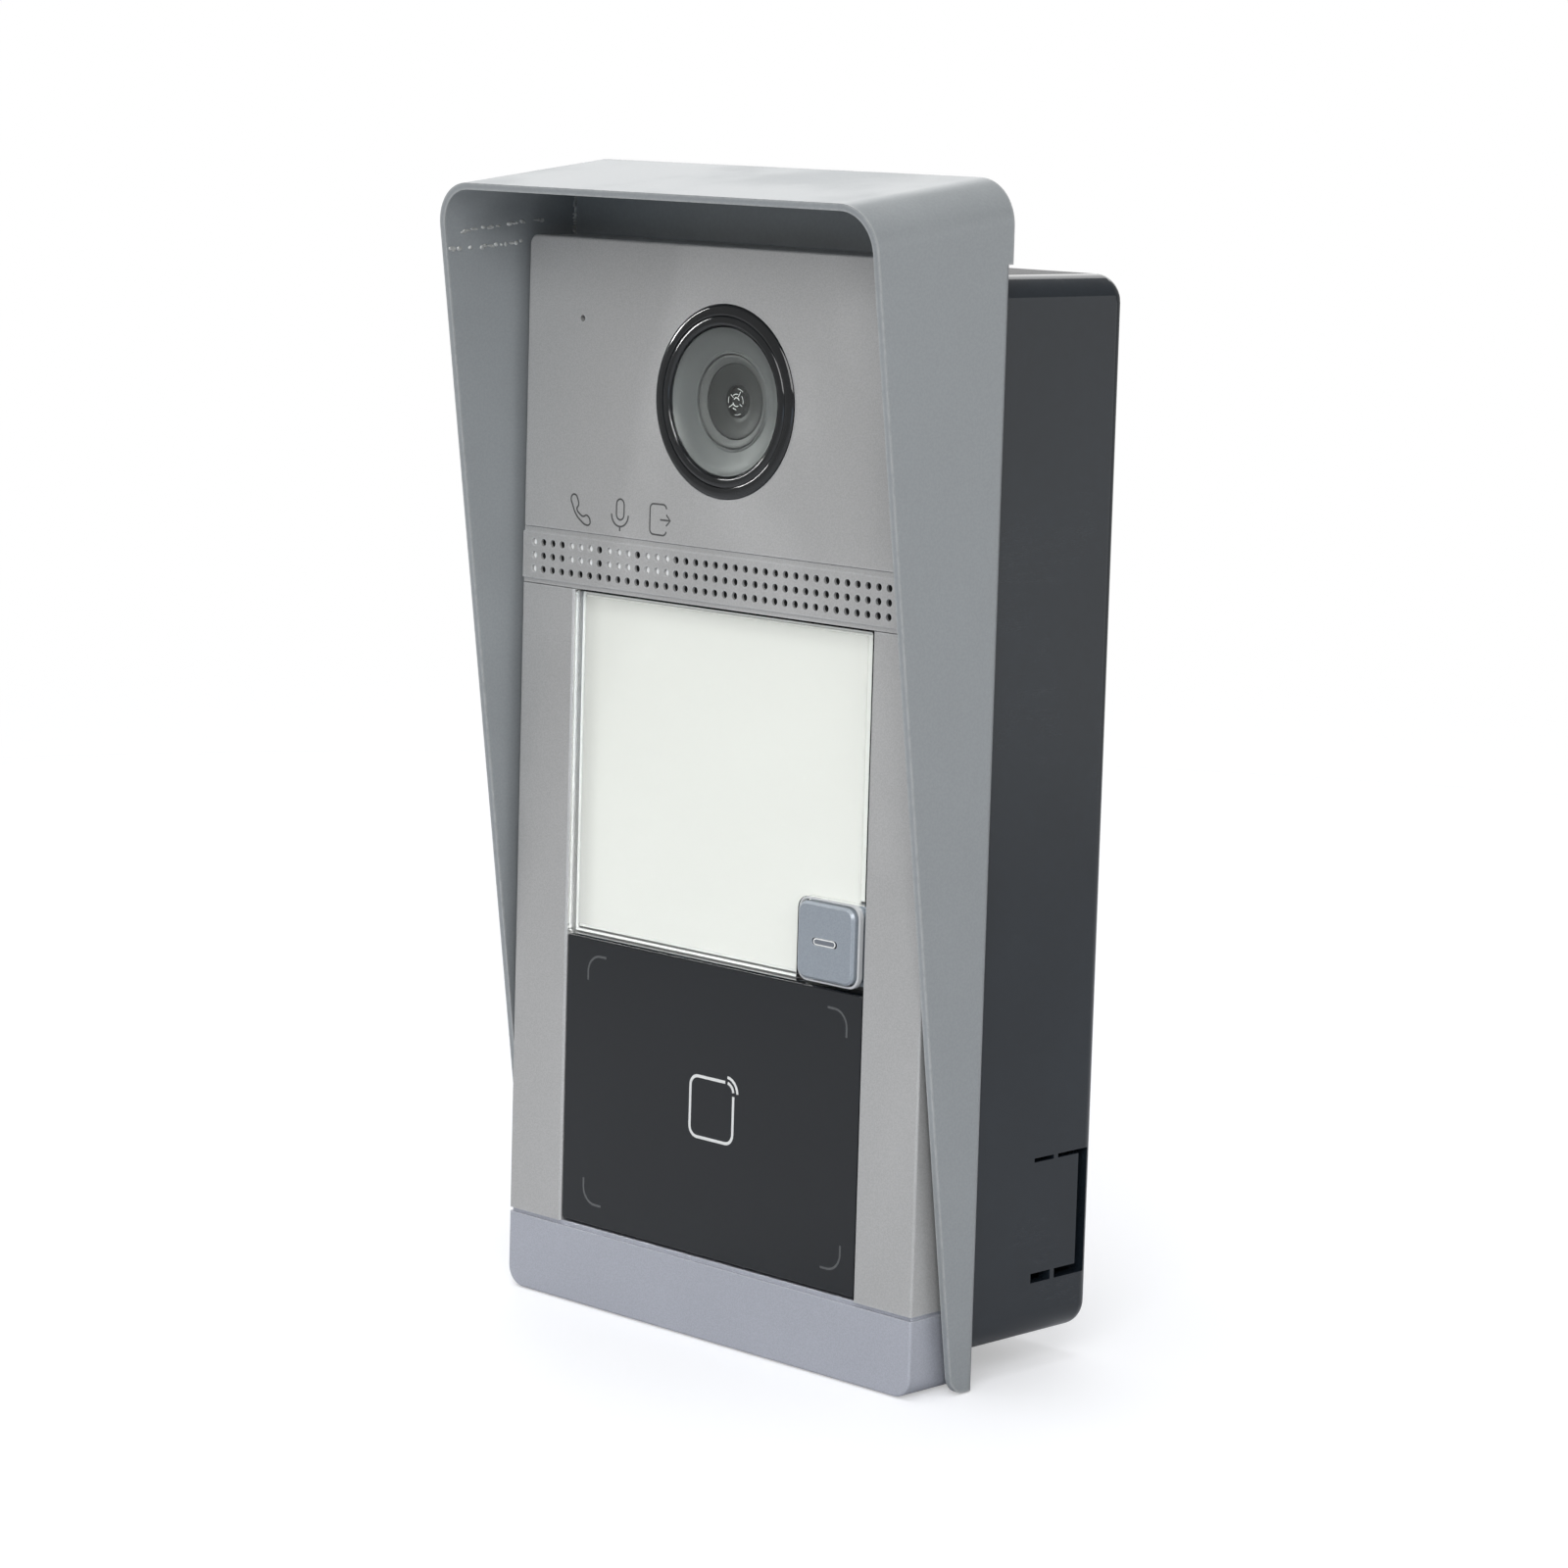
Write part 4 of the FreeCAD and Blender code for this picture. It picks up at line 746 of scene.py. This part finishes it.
# a thin raised line on a face, through points of x and z, with its height squeezed by flat
def drawnLine(name, points, depth, width, flat, closed=False, curved=False):
    pointPath(name, [at(x, depth, z) for x, z in points])
    leaveEdit()
    bpy.ops.object.convert(target="CURVE")
    curve = bpy.context.active_object
    bpy.ops.object.mode_set(mode="EDIT")
    bpy.ops.curve.select_all(action="SELECT")
    if closed:
        bpy.ops.curve.cyclic_toggle()
    if curved:
        bpy.ops.curve.spline_type_set(type="BEZIER")
        bpy.ops.curve.select_all(action="SELECT")
        bpy.ops.curve.handle_type_set(type="AUTOMATIC")
    leaveEdit()
    curve.data.dimensions = "3D"
    curve.data.bevel_depth = width / 2 * mm
    curve.data.bevel_resolution = 1
    curve.data.use_fill_caps = True
    curve.data.resolution_u = 4
    bpy.ops.object.convert(target="MESH")
    piece = named(name)
    bpy.ops.object.mode_set(mode="EDIT")
    bpy.ops.mesh.select_all(action="SELECT")
    bpy.ops.transform.resize(value=(1, flat, 1))
    bpy.ops.mesh.normals_make_consistent(inside=False)
    leaveEdit()
    return smooth(piece)


# the folded sheet and its welded roof are one skin with rounded edges
hood = {"edge": 0.28, "smoothAngle": 30}


def makeHood(h):
    shell = mergedCopy("hoodShell", "hood_body")
    carve(shell, mergedCopy("hoodRoofSheet", "hood_roof"), "UNION")
    dissolveFlat(shell, mergeWithin)
    softenEdges(shell, h["edge"])
    smooth(shell, h["smoothAngle"])
    place(shell, materials["hoodPaint"], slotName="hood_paint", standsFor=("hood_body", "hood_roof"))


makeHood(hood)

# weld beads along the cheeks' inner faces; their light grey colour is a painted highlight
welds = {
    "wall": 42.72,
    "runs": [  # each run: depth and height of its points along the cheek's inner face
        [(50.2, 78.8), (44.0, 79.6), (32.9, 80.7)],
        [(52.2, 76.3), (47.6, 76.5), (37.3, 77.4)],
    ],
    "corner": (27.7, 79.0, 83.8),  # depth, lowest and highest point of the upright bead
    "cornerBeads": 12,
    "bead": 0.5,
    "flatSide": (0.55, -0.08),  # faces that look this far sideways move this far back
    "step": 0.5,
    "seed": 11,
    "left": 0.42,  # share of the beads left out
    "slide": 0.3,
    "jitter": (0.1, 0.14),  # along the depth and the height
    "thin": 0.35,
    "long": (0.5, 1.25),
    "tall": (0.35, 0.8),
    "smoothAngle": 60,
}


def makeWelds(w):
    rng = random.Random(w["seed"])
    clearSelection()
    bpy.ops.mesh.primitive_ico_sphere_add(subdivisions=2, radius=w["bead"] * mm, location=(0, 0, 0))
    bead = settle(named("weldBead"))
    facing, back = w["flatSide"]
    pickFaces(bead, lambda normal: normal.x > facing)
    bpy.ops.transform.translate(value=at(back, 0, 0))
    leaveEdit()
    spots = []
    for run in w["runs"]:
        for a, b in zip(run, run[1:]):
            count = int(math.dist(a, b) / w["step"])
            for i in range(count):
                if rng.random() < w["left"]:
                    continue
                t = (i + rng.uniform(-w["slide"], w["slide"])) / count
                spots.append((a[0] + (b[0] - a[0]) * t, a[1] + (b[1] - a[1]) * t))
    depth, low, high = w["corner"]
    last = w["cornerBeads"]
    spots += [(depth, low + (high - low) * i / last) for i in range(last + 1)]
    along, upright = w["jitter"]
    copies = []
    for side in (-1, 1):
        for d, z in spots:
            copy = twin(bead)
            d += rng.uniform(-along, along)
            z += rng.uniform(-upright, upright)
            copy.location = at(side * w["wall"], d, z)
            copy.scale = (w["thin"], rng.uniform(*w["long"]), rng.uniform(*w["tall"]))
            copies.append(copy)
    bpy.data.objects.remove(bead)
    seam = settle(join("hoodWeldBeads", copies))
    smooth(seam, w["smoothAngle"])
    place(seam, materials["weldRoughHighlight"], slotName="hood_paint")


makeWelds(welds)
print("hood and welds made")


# profiles of radius and depth, turned about the camera's axis
eye = {
    "centre": (0.0, 56.5),
    "smoothAngle": 32,
    "ring": [(10.9, 34.9), (15.6, 34.9), (15.6, 35.8), (13.95, 35.8), (13.85, 38.0), (13.72, 38.16),
             (13.4, 38.28), (12.9, 38.36), (12.5, 38.36), (12.32, 38.28), (12.26, 38.12), (12.18, 38.26),
             (11.95, 38.4), (11.55, 38.47), (11.2, 38.45), (10.95, 38.32), (10.82, 38.1), (10.72, 37.7),
             (10.66, 37.2), (10.66, 35.2)],
    "glass": [(0.0, 37.75), (10.6, 37.75), (10.6, 38.0), (10.35, 38.08), (7.0, 38.16), (3.5, 38.2),
              (0.0, 38.2)],
    "cone": [(6.8, 34.0), (9.8, 34.0), (10.5, 35.9), (10.62, 37.65), (10.5, 37.7), (10.2, 37.35),
             (9.6, 36.95), (8.7, 36.6), (7.6, 36.35), (7.2, 36.25), (7.05, 36.36), (6.86, 36.36), (6.8, 36.2)],
    "barrel": [(5.5, 22.5), (6.7, 22.5), (6.7, 36.0), (6.6, 36.16), (6.35, 36.2), (6.1, 36.1), (5.72, 35.72),
               (5.5, 35.66)],
    "retainer": [(2.3, 34.35), (5.45, 34.35), (5.45, 35.5), (5.3, 35.6), (5.0, 35.58),(4.4, 35.4),
                 (3.2, 35.25), (2.7, 35.2), (2.4, 35.05), (2.3, 34.8)],
    "lens": [(0.0, 33.2), (4.8, 33.2), (4.8, 34.3), (2.25, 34.3), (2.2, 34.6), (1.7, 34.9), (1.0, 35.08),
             (0.0, 35.14)],
    "parts": (  # piece, profile, closed on itself, finish, slot, CAD node
        ("cameraRing", "ring", True, "bezelBlack", "bezel_black", "camera_bezel"),
        ("cameraGlass", "glass", False, "windowClear", "window_clear", "camera_window"),
        ("lensCone", "cone", True, "maskGrey", "mask_grey", "lens_mask"),
        ("lensBarrelTurned", "barrel", True, "barrelGrey", "lens_black", "lens_barrel"),
        ("lensRetainerTurned", "retainer", True, "lensBlack", "lens_black", "lens_retainer"),
        ("lensDome", "lens", False, "lensGlass", "lens_glass", "lens_element"),
    ),
}


def makeEye(e):
    for name, profile, closed, finish, slotName, member in e["parts"]:
        piece = smooth(turned(name, e["centre"], e[profile], closed=closed), e["smoothAngle"])
        place(piece, materials[finish], slotName=slotName, standsFor=(member,))


makeEye(eye)

# painted glint at the lens centre: thin bright lines about the lens axis, arcs by radius, first and last angle
# and width, rays by near and far radius and angle
lensGlint = {
    "arcs": [(0.55, 20, 150, 0.16), (0.7, 195, 300, 0.14), (1.05, 75, 128, 0.12), (1.15, 235, 268, 0.12),
             (1.3, -12, 40, 0.1), (1.6, 158, 190, 0.1), (1.85, 50, 84, 0.09), (1.9, 262, 296, 0.09)],
    "rays": [(0.75, 1.6, 62), (0.85, 1.45, 141), (0.8, 1.7, 212), (0.75, 1.3, 331)],
    "rayWidth": 0.11,
    "depth": 35.33,
    "flat": 0.5,
    "steps": 8,
}


def makeLensGlint(i):
    centre = eye["centre"]
    lines = []
    for radius, start, stop, width in i["arcs"]:
        points = arc(centre, radius, start, stop, i["steps"])
        lines.append(drawnLine("glintArc", points, i["depth"], width, i["flat"]))
    for near, far, angle in i["rays"]:
        points = [onCircle(centre, radius, angle) for radius in (near, far)]
        lines.append(drawnLine("glintRay", points, i["depth"], i["rayWidth"], i["flat"]))
    place(join("lensGlintLines", lines), materials["lensGlintLight"], slotName="lens_glass")


makeLensGlint(lensGlint)
print("camera eye made")


# clear cover with a notch for the button, a white rib painted as the bright highlight along the cover's edge,
# a white surround painted as the button's bright outline, and the lit card behind it; each piece is
# low and high corner, corner radius and rim radius
nameWindow = {
    "cover": ((-30.15, 35.75, -24.5), (30.15, 37.75, 26.65), 0.35),
    "coverEdge": 0.22,
    "rib": ((-29.65, 35.35, -24.3), (29.65, 35.68, 26.5), 0.3, 0.12),
    "ribInner": ((-29.27, 34.0, -23.95), (29.27, 36.5, 26.2), 0.3),
    "card": ((-29.0, 35.2, -23.2), (27.9, 35.6, 25.75), 0.2, 0.05),
    "notch": ((17.25, 34.0, -26.0), (32.0, 39.0, -12.0), 1.9),
    "surround": ((17.3, 36.95, -24.15), (29.3, 37.72, -12.05), 1.9, 0.15),
    "surroundInner": ((17.6, 36.0, -23.85), (29.0, 39.0, -12.35), 1.75),
}


def makeNameWindow(n):
    cover = carve(plate("nameCoverClear", *n["cover"]), plate("notchTool", *n["notch"]))
    softenEdges(cover, n["coverEdge"])
    place(smooth(cover), materials["coverClear"], slotName="cover_clear", standsFor=("name_cover",))
    # the rib is a painted highlight, the bright band along the clear cover's edge
    rib = carve(plate("coverHighlightRib", *n["rib"]), plate("ribTool", *n["ribInner"]))
    carve(rib, plate("notchTool", *n["notch"]))
    place(smooth(rib), materials["ribWhiteHighlight"], slotName="cover_clear")
    # the surround is a painted highlight, the bright outline round the button
    surround = carve(plate("buttonSurround", *n["surround"]), plate("surroundTool", *n["surroundInner"]))
    place(smooth(surround), materials["surroundWhiteHighlight"], slotName="cover_clear")
    card = carve(plate("nameCardLit", *n["card"]), plate("notchTool", *n["notch"]))
    place(smooth(card), materials["cardWhiteAndBacklight"], slotName="card_white", standsFor=("name_card",))


makeNameWindow(nameWindow)
print("name window made")


# the button's light bar, a raised stadium with a bright rim, a painted highlight along its edge
bar = {"centre": (23.3, -18.1), "half": (1.98, 0.36), "depth": (37.9, 38.56), "endRound": 0.98,
       "edge": 0.08, "endSteps": 8, "rimWidth": 0.2, "rimOut": 0.06, "rimDepth": 38.51, "rimFlat": 0.5}


def makeBar(b):
    x, z = b["centre"]
    hx, hz = b["half"]
    rear, front = b["depth"]
    lens = plate("lightBarLens", (x - hx, rear, z - hz), (x + hx, front, z + hz), hz * b["endRound"],
                 b["edge"], b["endSteps"])
    place(smooth(lens), materials["barTranslucent"], "button", "bar_translucent", ("button_light_bar",))
    radius = hz + b["rimOut"]
    outline = (arc((x + hx - hz, z), radius, -90, 90, b["endSteps"])
               + arc((x - hx + hz, z), radius, 90, 270, b["endSteps"]))
    rim = drawnLine("lightBarHighlightRim", outline, b["rimDepth"], b["rimWidth"], b["rimFlat"], closed=True)
    place(rim, materials["ribWhiteHighlight"], "button", "bar_translucent")


makeBar(bar)
print("light bar made")


# dark cups inside the speaker holes, their floors standing for the black membrane and their walls painted
# shade;
# the first column and the lit columns' upper rows stay open
grille = {"first": (-39.1, 33.05), "pitch": 2.005, "columns": 40, "rows": 3, "litRows": 2,
          "lit": (4, 5, 6, 8, 9, 10, 12, 13, 14), "steps": 12,
          "cup": [(0.0, 36.25), (0.53, 36.25), (0.53, 37.5), (0.5, 37.5), (0.47, 36.4), (0.0, 36.4)]}


def makeGrilleShadeCups(g):
    first = turned("grilleShadeCup", g["first"], g["cup"], steps=g["steps"], closed=False)
    cups = []
    for column in range(g["columns"]):
        for row in range(g["rows"]):
            if column == 0 or (row < g["litRows"] and column in g["lit"]):
                continue
            copy = twin(first)
            copy.location = at(column * g["pitch"], 0, -row * g["pitch"])
            cups.append(copy)
    bpy.data.objects.remove(first)
    piece = settle(join("grilleShadeCups", cups))
    place(smooth(piece), materials["membraneAndHoleShadeBlack"], slotName="membrane_black")


makeGrilleShadeCups(grille)

# the shallow groove above the bottom bar
seam = {"low": (-41.2, 30.0, -69.25), "high": (41.2, 37.45, -68.55), "rim": 0.08}
seamPiece = plate("coverSeam", seam["low"], seam["high"], rim=seam["rim"])
# the seam filler takes the bottom bar's bluer paint, painted blue bounce light
place(seamPiece, materials["stationPaintBlueBounce"], slotName="station_paint")
print("grille cups and seam made")


# card reader: a dark sheet behind a glossy black front with printed marks
reader = {
    "panel": ((-30.1, 34.5, -68.1), (30.1, 35.8, -24.75), 0.4, 0.1),
    "glass": ((-30.12, 35.8, -68.12), (30.12, 37.7, -24.73), 0.4, 0.2),
    "marks": (26.45, -64.9, -27.3),  # half width, lowest and highest
    "markShift": 0.9,
    "markCorner": 2.5,
    "markSteps": 10,
    "markLeg": 1.3,
    "markWidth": 0.33,
    "markFlat": 0.08,
    "inkDepth": 37.7,
    "iconCentre": (0.95, -46.1),
    "iconHalf": (4.4, 4.5),
    "iconCorner": 1.5,
    "iconWidth": 0.52,
    "iconFlat": 0.05,
    "iconOpen": (2.7, 1.85),  # the outline stops this far right of the centre and below the top
    "waves": ((1.5, 78, 8), (2.32, 84, 3)),  # radius, first and last angle
    "waveWidth": 0.95,
}


def makeReader(r):
    panel = smooth(plate("readerPanel", *r["panel"]))
    place(panel, materials["readerBlack"], slotName="reader_black", standsFor=("reader_window",))
    glass = smooth(plate("readerGlass", *r["glass"]))
    place(glass, materials["readerBlack"], slotName="reader_black")
    half, low, high = r["marks"]
    corner, leg = r["markCorner"], r["markLeg"]
    turns = [math.pi / 2 * k / r["markSteps"] for k in range(r["markSteps"] + 1)]
    marks = []
    for side in (-1, 1):
        x = side * half + r["markShift"]
        for z, up in ((low, 1), (high, -1)):
            bend = [(x - side * corner * (1 - math.cos(t)), z + up * corner * (1 - math.sin(t)))
                    for t in turns]
            line = [(x, z + up * (corner + leg))] + bend + [(x - side * (corner + leg), z)]
            marks.append(drawnLine("cornerMark", line, r["inkDepth"], r["markWidth"], r["markFlat"]))
    place(join("readerCornerMarks", marks), materials["inkFaint"], slotName="reader_black")
    cx, cz = r["iconCentre"]
    hx, hz = r["iconHalf"]
    c = r["iconCorner"]
    right, below = r["iconOpen"]
    square = ([(cx + right, cz + hz)] + arc((cx - hx + c, cz + hz - c), c, 90, 180)
              + arc((cx - hx + c, cz - hz + c), c, 180, 270) + arc((cx + hx - c, cz - hz + c), c, 270, 360)
              + [(cx + hx, cz + hz - below)])
    lines = [(square, r["iconWidth"])]
    for wave in r["waves"]:
        lines.append((arc((cx + hx - c, cz + hz - c), *wave), r["iconWidth"] * r["waveWidth"]))
    drawn = [drawnLine("iconLine", points, r["inkDepth"], width, r["iconFlat"]) for points, width in lines]
    place(join("readerCardIcon", drawn), materials["inkWhite"], slotName="reader_black")


makeReader(reader)
print("reader made")


# thin engraved pictograms, each about its own place along the row; offsets are right and up
pictograms = {
    "depth": 37.9,
    "height": 38.6,
    "width": 0.3,
    "flat": 0.2,
    "phoneAt": -29.2,
    "phone": [(-2.08, 1.81), (-1.3, 2.2), (-0.68, 1.5), (-0.52, 0.68), (-0.86, 0.1), (-0.26, -0.57),
              (0.52, -0.9), (1.3, -0.68), (2.03, -1.55), (1.82, -2.02), (1.15, -2.12), (0.1, -1.63),
              (-0.94, -0.81), (-1.72, 0.5)],
    "microphoneAt": -20.9,
    "capsule": ((0.05, 1.5, 0.8, 0, 180, 8), (0.05, 0.05, 0.8, 180, 360, 8)),  # arcs: offset, radius,
    "cradle": ((0, 0.02, 1.76, 180, 360, 14),),                               # angles and steps
    "stem": [(0, -1.74), (0, -2.4)],
    "doorAt": -12.5,
    "doorFrame": ((0.55, 1.5, 0.75, 10, 90, 5), (-1.4, 1.5, 0.72, 90, 180, 5),
                  (-1.4, -1.5, 0.72, 180, 270, 5), (0.55, -1.5, 0.75, 270, 350, 5)),
    "shaft": [(0, 0), (2.1, 0)],
    "head": [(1.25, 0.82), (2.1, 0), (1.25, -0.82)],
}


def makePictograms(p):
    z = p["height"]

    def moved(x, points):
        return [(x + a, z + b) for a, b in points]

    def arcs(x, rows):
        return [point for a, b, *turn in rows for point in arc((x + a, z + b), *turn)]

    phone, microphone, door = p["phoneAt"], p["microphoneAt"], p["doorAt"]
    lines = (  # points, closed, curved
        (moved(phone, p["phone"]), True, True),
        (arcs(microphone, p["capsule"]), True, False),
        (arcs(microphone, p["cradle"]), False, False),
        (moved(microphone, p["stem"]), False, False),
        (arcs(door, p["doorFrame"]), False, False),
        (moved(door, p["shaft"]), False, False),
        (moved(door, p["head"]), False, False),
    )
    made = [drawnLine("pictogramLine", points, p["depth"], p["width"], p["flat"], closed, curved)
            for points, closed, curved in lines]
    place(join("pictogramLines", made), materials["inkDark"], slotName="station_paint")


makePictograms(pictograms)
print("pictograms made")


# a pale floor that fades into the background; only the camera sees its glow, so it lights nothing
floorSettings = {"size": 6.0, "below": 0.2, "fadeFrom": 0.2, "fadeTo": 0.8, "colour": (0.6, 0.61, 0.64),
                 "roughness": 0.7, "glow": 0.4}


def makeFloor(f):
    low = cadBounds[0][2] - f["below"] * mm
    clearSelection()
    bpy.ops.mesh.primitive_plane_add(size=f["size"], location=(0, 0, low))
    floor = settle(named("studioFloor"))
    material, tree, shader = newMaterial("floorPale", f["colour"], f["roughness"])
    distance = node(tree, "VectorMath", operation="LENGTH")
    tree.links.new(node(tree, "TexCoord").outputs["Object"], distance.inputs[0])
    shader.inputs["Emission Color"].default_value = (1, 1, 1, 1)
    seen = node(tree, "LightPath").outputs["Is Camera Ray"]
    tree.links.new(combine(tree, "MULTIPLY", seen, f["glow"]), shader.inputs["Emission Strength"])
    fadeOut(tree, shader, ranged(tree, distance.outputs["Value"], f["fadeFrom"], f["fadeTo"]))
    floor.data.materials.append(material)


lights = {  # place as x, depth, z, size and the point aimed at, in millimetres; power in watts
    "keySoftbox": {"place": (750, 950, 650), "size": (800, 800), "power": 11.5, "aim": (0, 30, 0)},
    "topSoftbox": {"place": (-100, 150, 1100), "size": (900, 900), "power": 7.0, "aim": (0, 30, 0)},
    "rearSoftbox": {"place": (-700, -900, 520), "size": (1100, 700), "power": 3.0, "aim": (0, 30, 60)},
    "sideSoftbox": {"place": (1000, -1000, 60), "size": (900, 900), "power": 1.3, "aim": (0, 0, 0)},
    "lowFill": {"place": (300, 520, -40), "size": (300, 120), "power": 0.12, "aim": (0, 30, -70),
                "colour": (0.55, 0.75, 1.0)},
    "ringStripLeft": {"place": (-800, 420, 420), "size": (50, 600), "power": 5.0, "aim": (0, 38, 56),
                      "glossOnly": True},
    "ringStripRight": {"place": (620, 420, 620), "size": (40, 500), "power": 4.5, "aim": (0, 38, 56),
                       "glossOnly": True},
}


ambientLight = 0.36  # the world's strength for all but the camera, which sees plain white


def makeLights(table, ambient):
    for name, l in table.items():
        data = bpy.data.lights.new(name, "AREA")
        data.shape = "RECTANGLE"
        data.energy = l["power"]
        data.size, data.size_y = (side * mm for side in l["size"])
        data.color = l.get("colour", (1, 1, 1))
        lamp = bpy.data.objects.new(name, data)
        bpy.context.scene.collection.objects.link(lamp)
        lamp.visible_diffuse = not l.get("glossOnly", False)
        lamp.visible_transmission = lamp.visible_diffuse
        lamp.location = at(*l["place"])
        lamp.rotation_mode = "QUATERNION"
        lamp.rotation_quaternion = (at(*l["aim"]) - at(*l["place"])).to_track_quat("-Z", "Y")
    world = bpy.data.worlds.new("studioWorld")
    bpy.context.scene.world = world
    world.use_nodes = True
    tree = world.node_tree
    back = next(n for n in tree.nodes if n.type == "BACKGROUND")
    back.inputs["Color"].default_value = (1, 1, 1, 1)
    path = node(tree, "LightPath")
    strength = ranged(tree, path.outputs["Is Camera Ray"], 0.0, 1.0, ambient, 1.0)
    tree.links.new(strength, back.inputs["Strength"])


makeFloor(floorSettings)
makeLights(lights, ambientLight)
bpy.context.scene.view_settings.view_transform = "Standard"
print("floor and lights set")
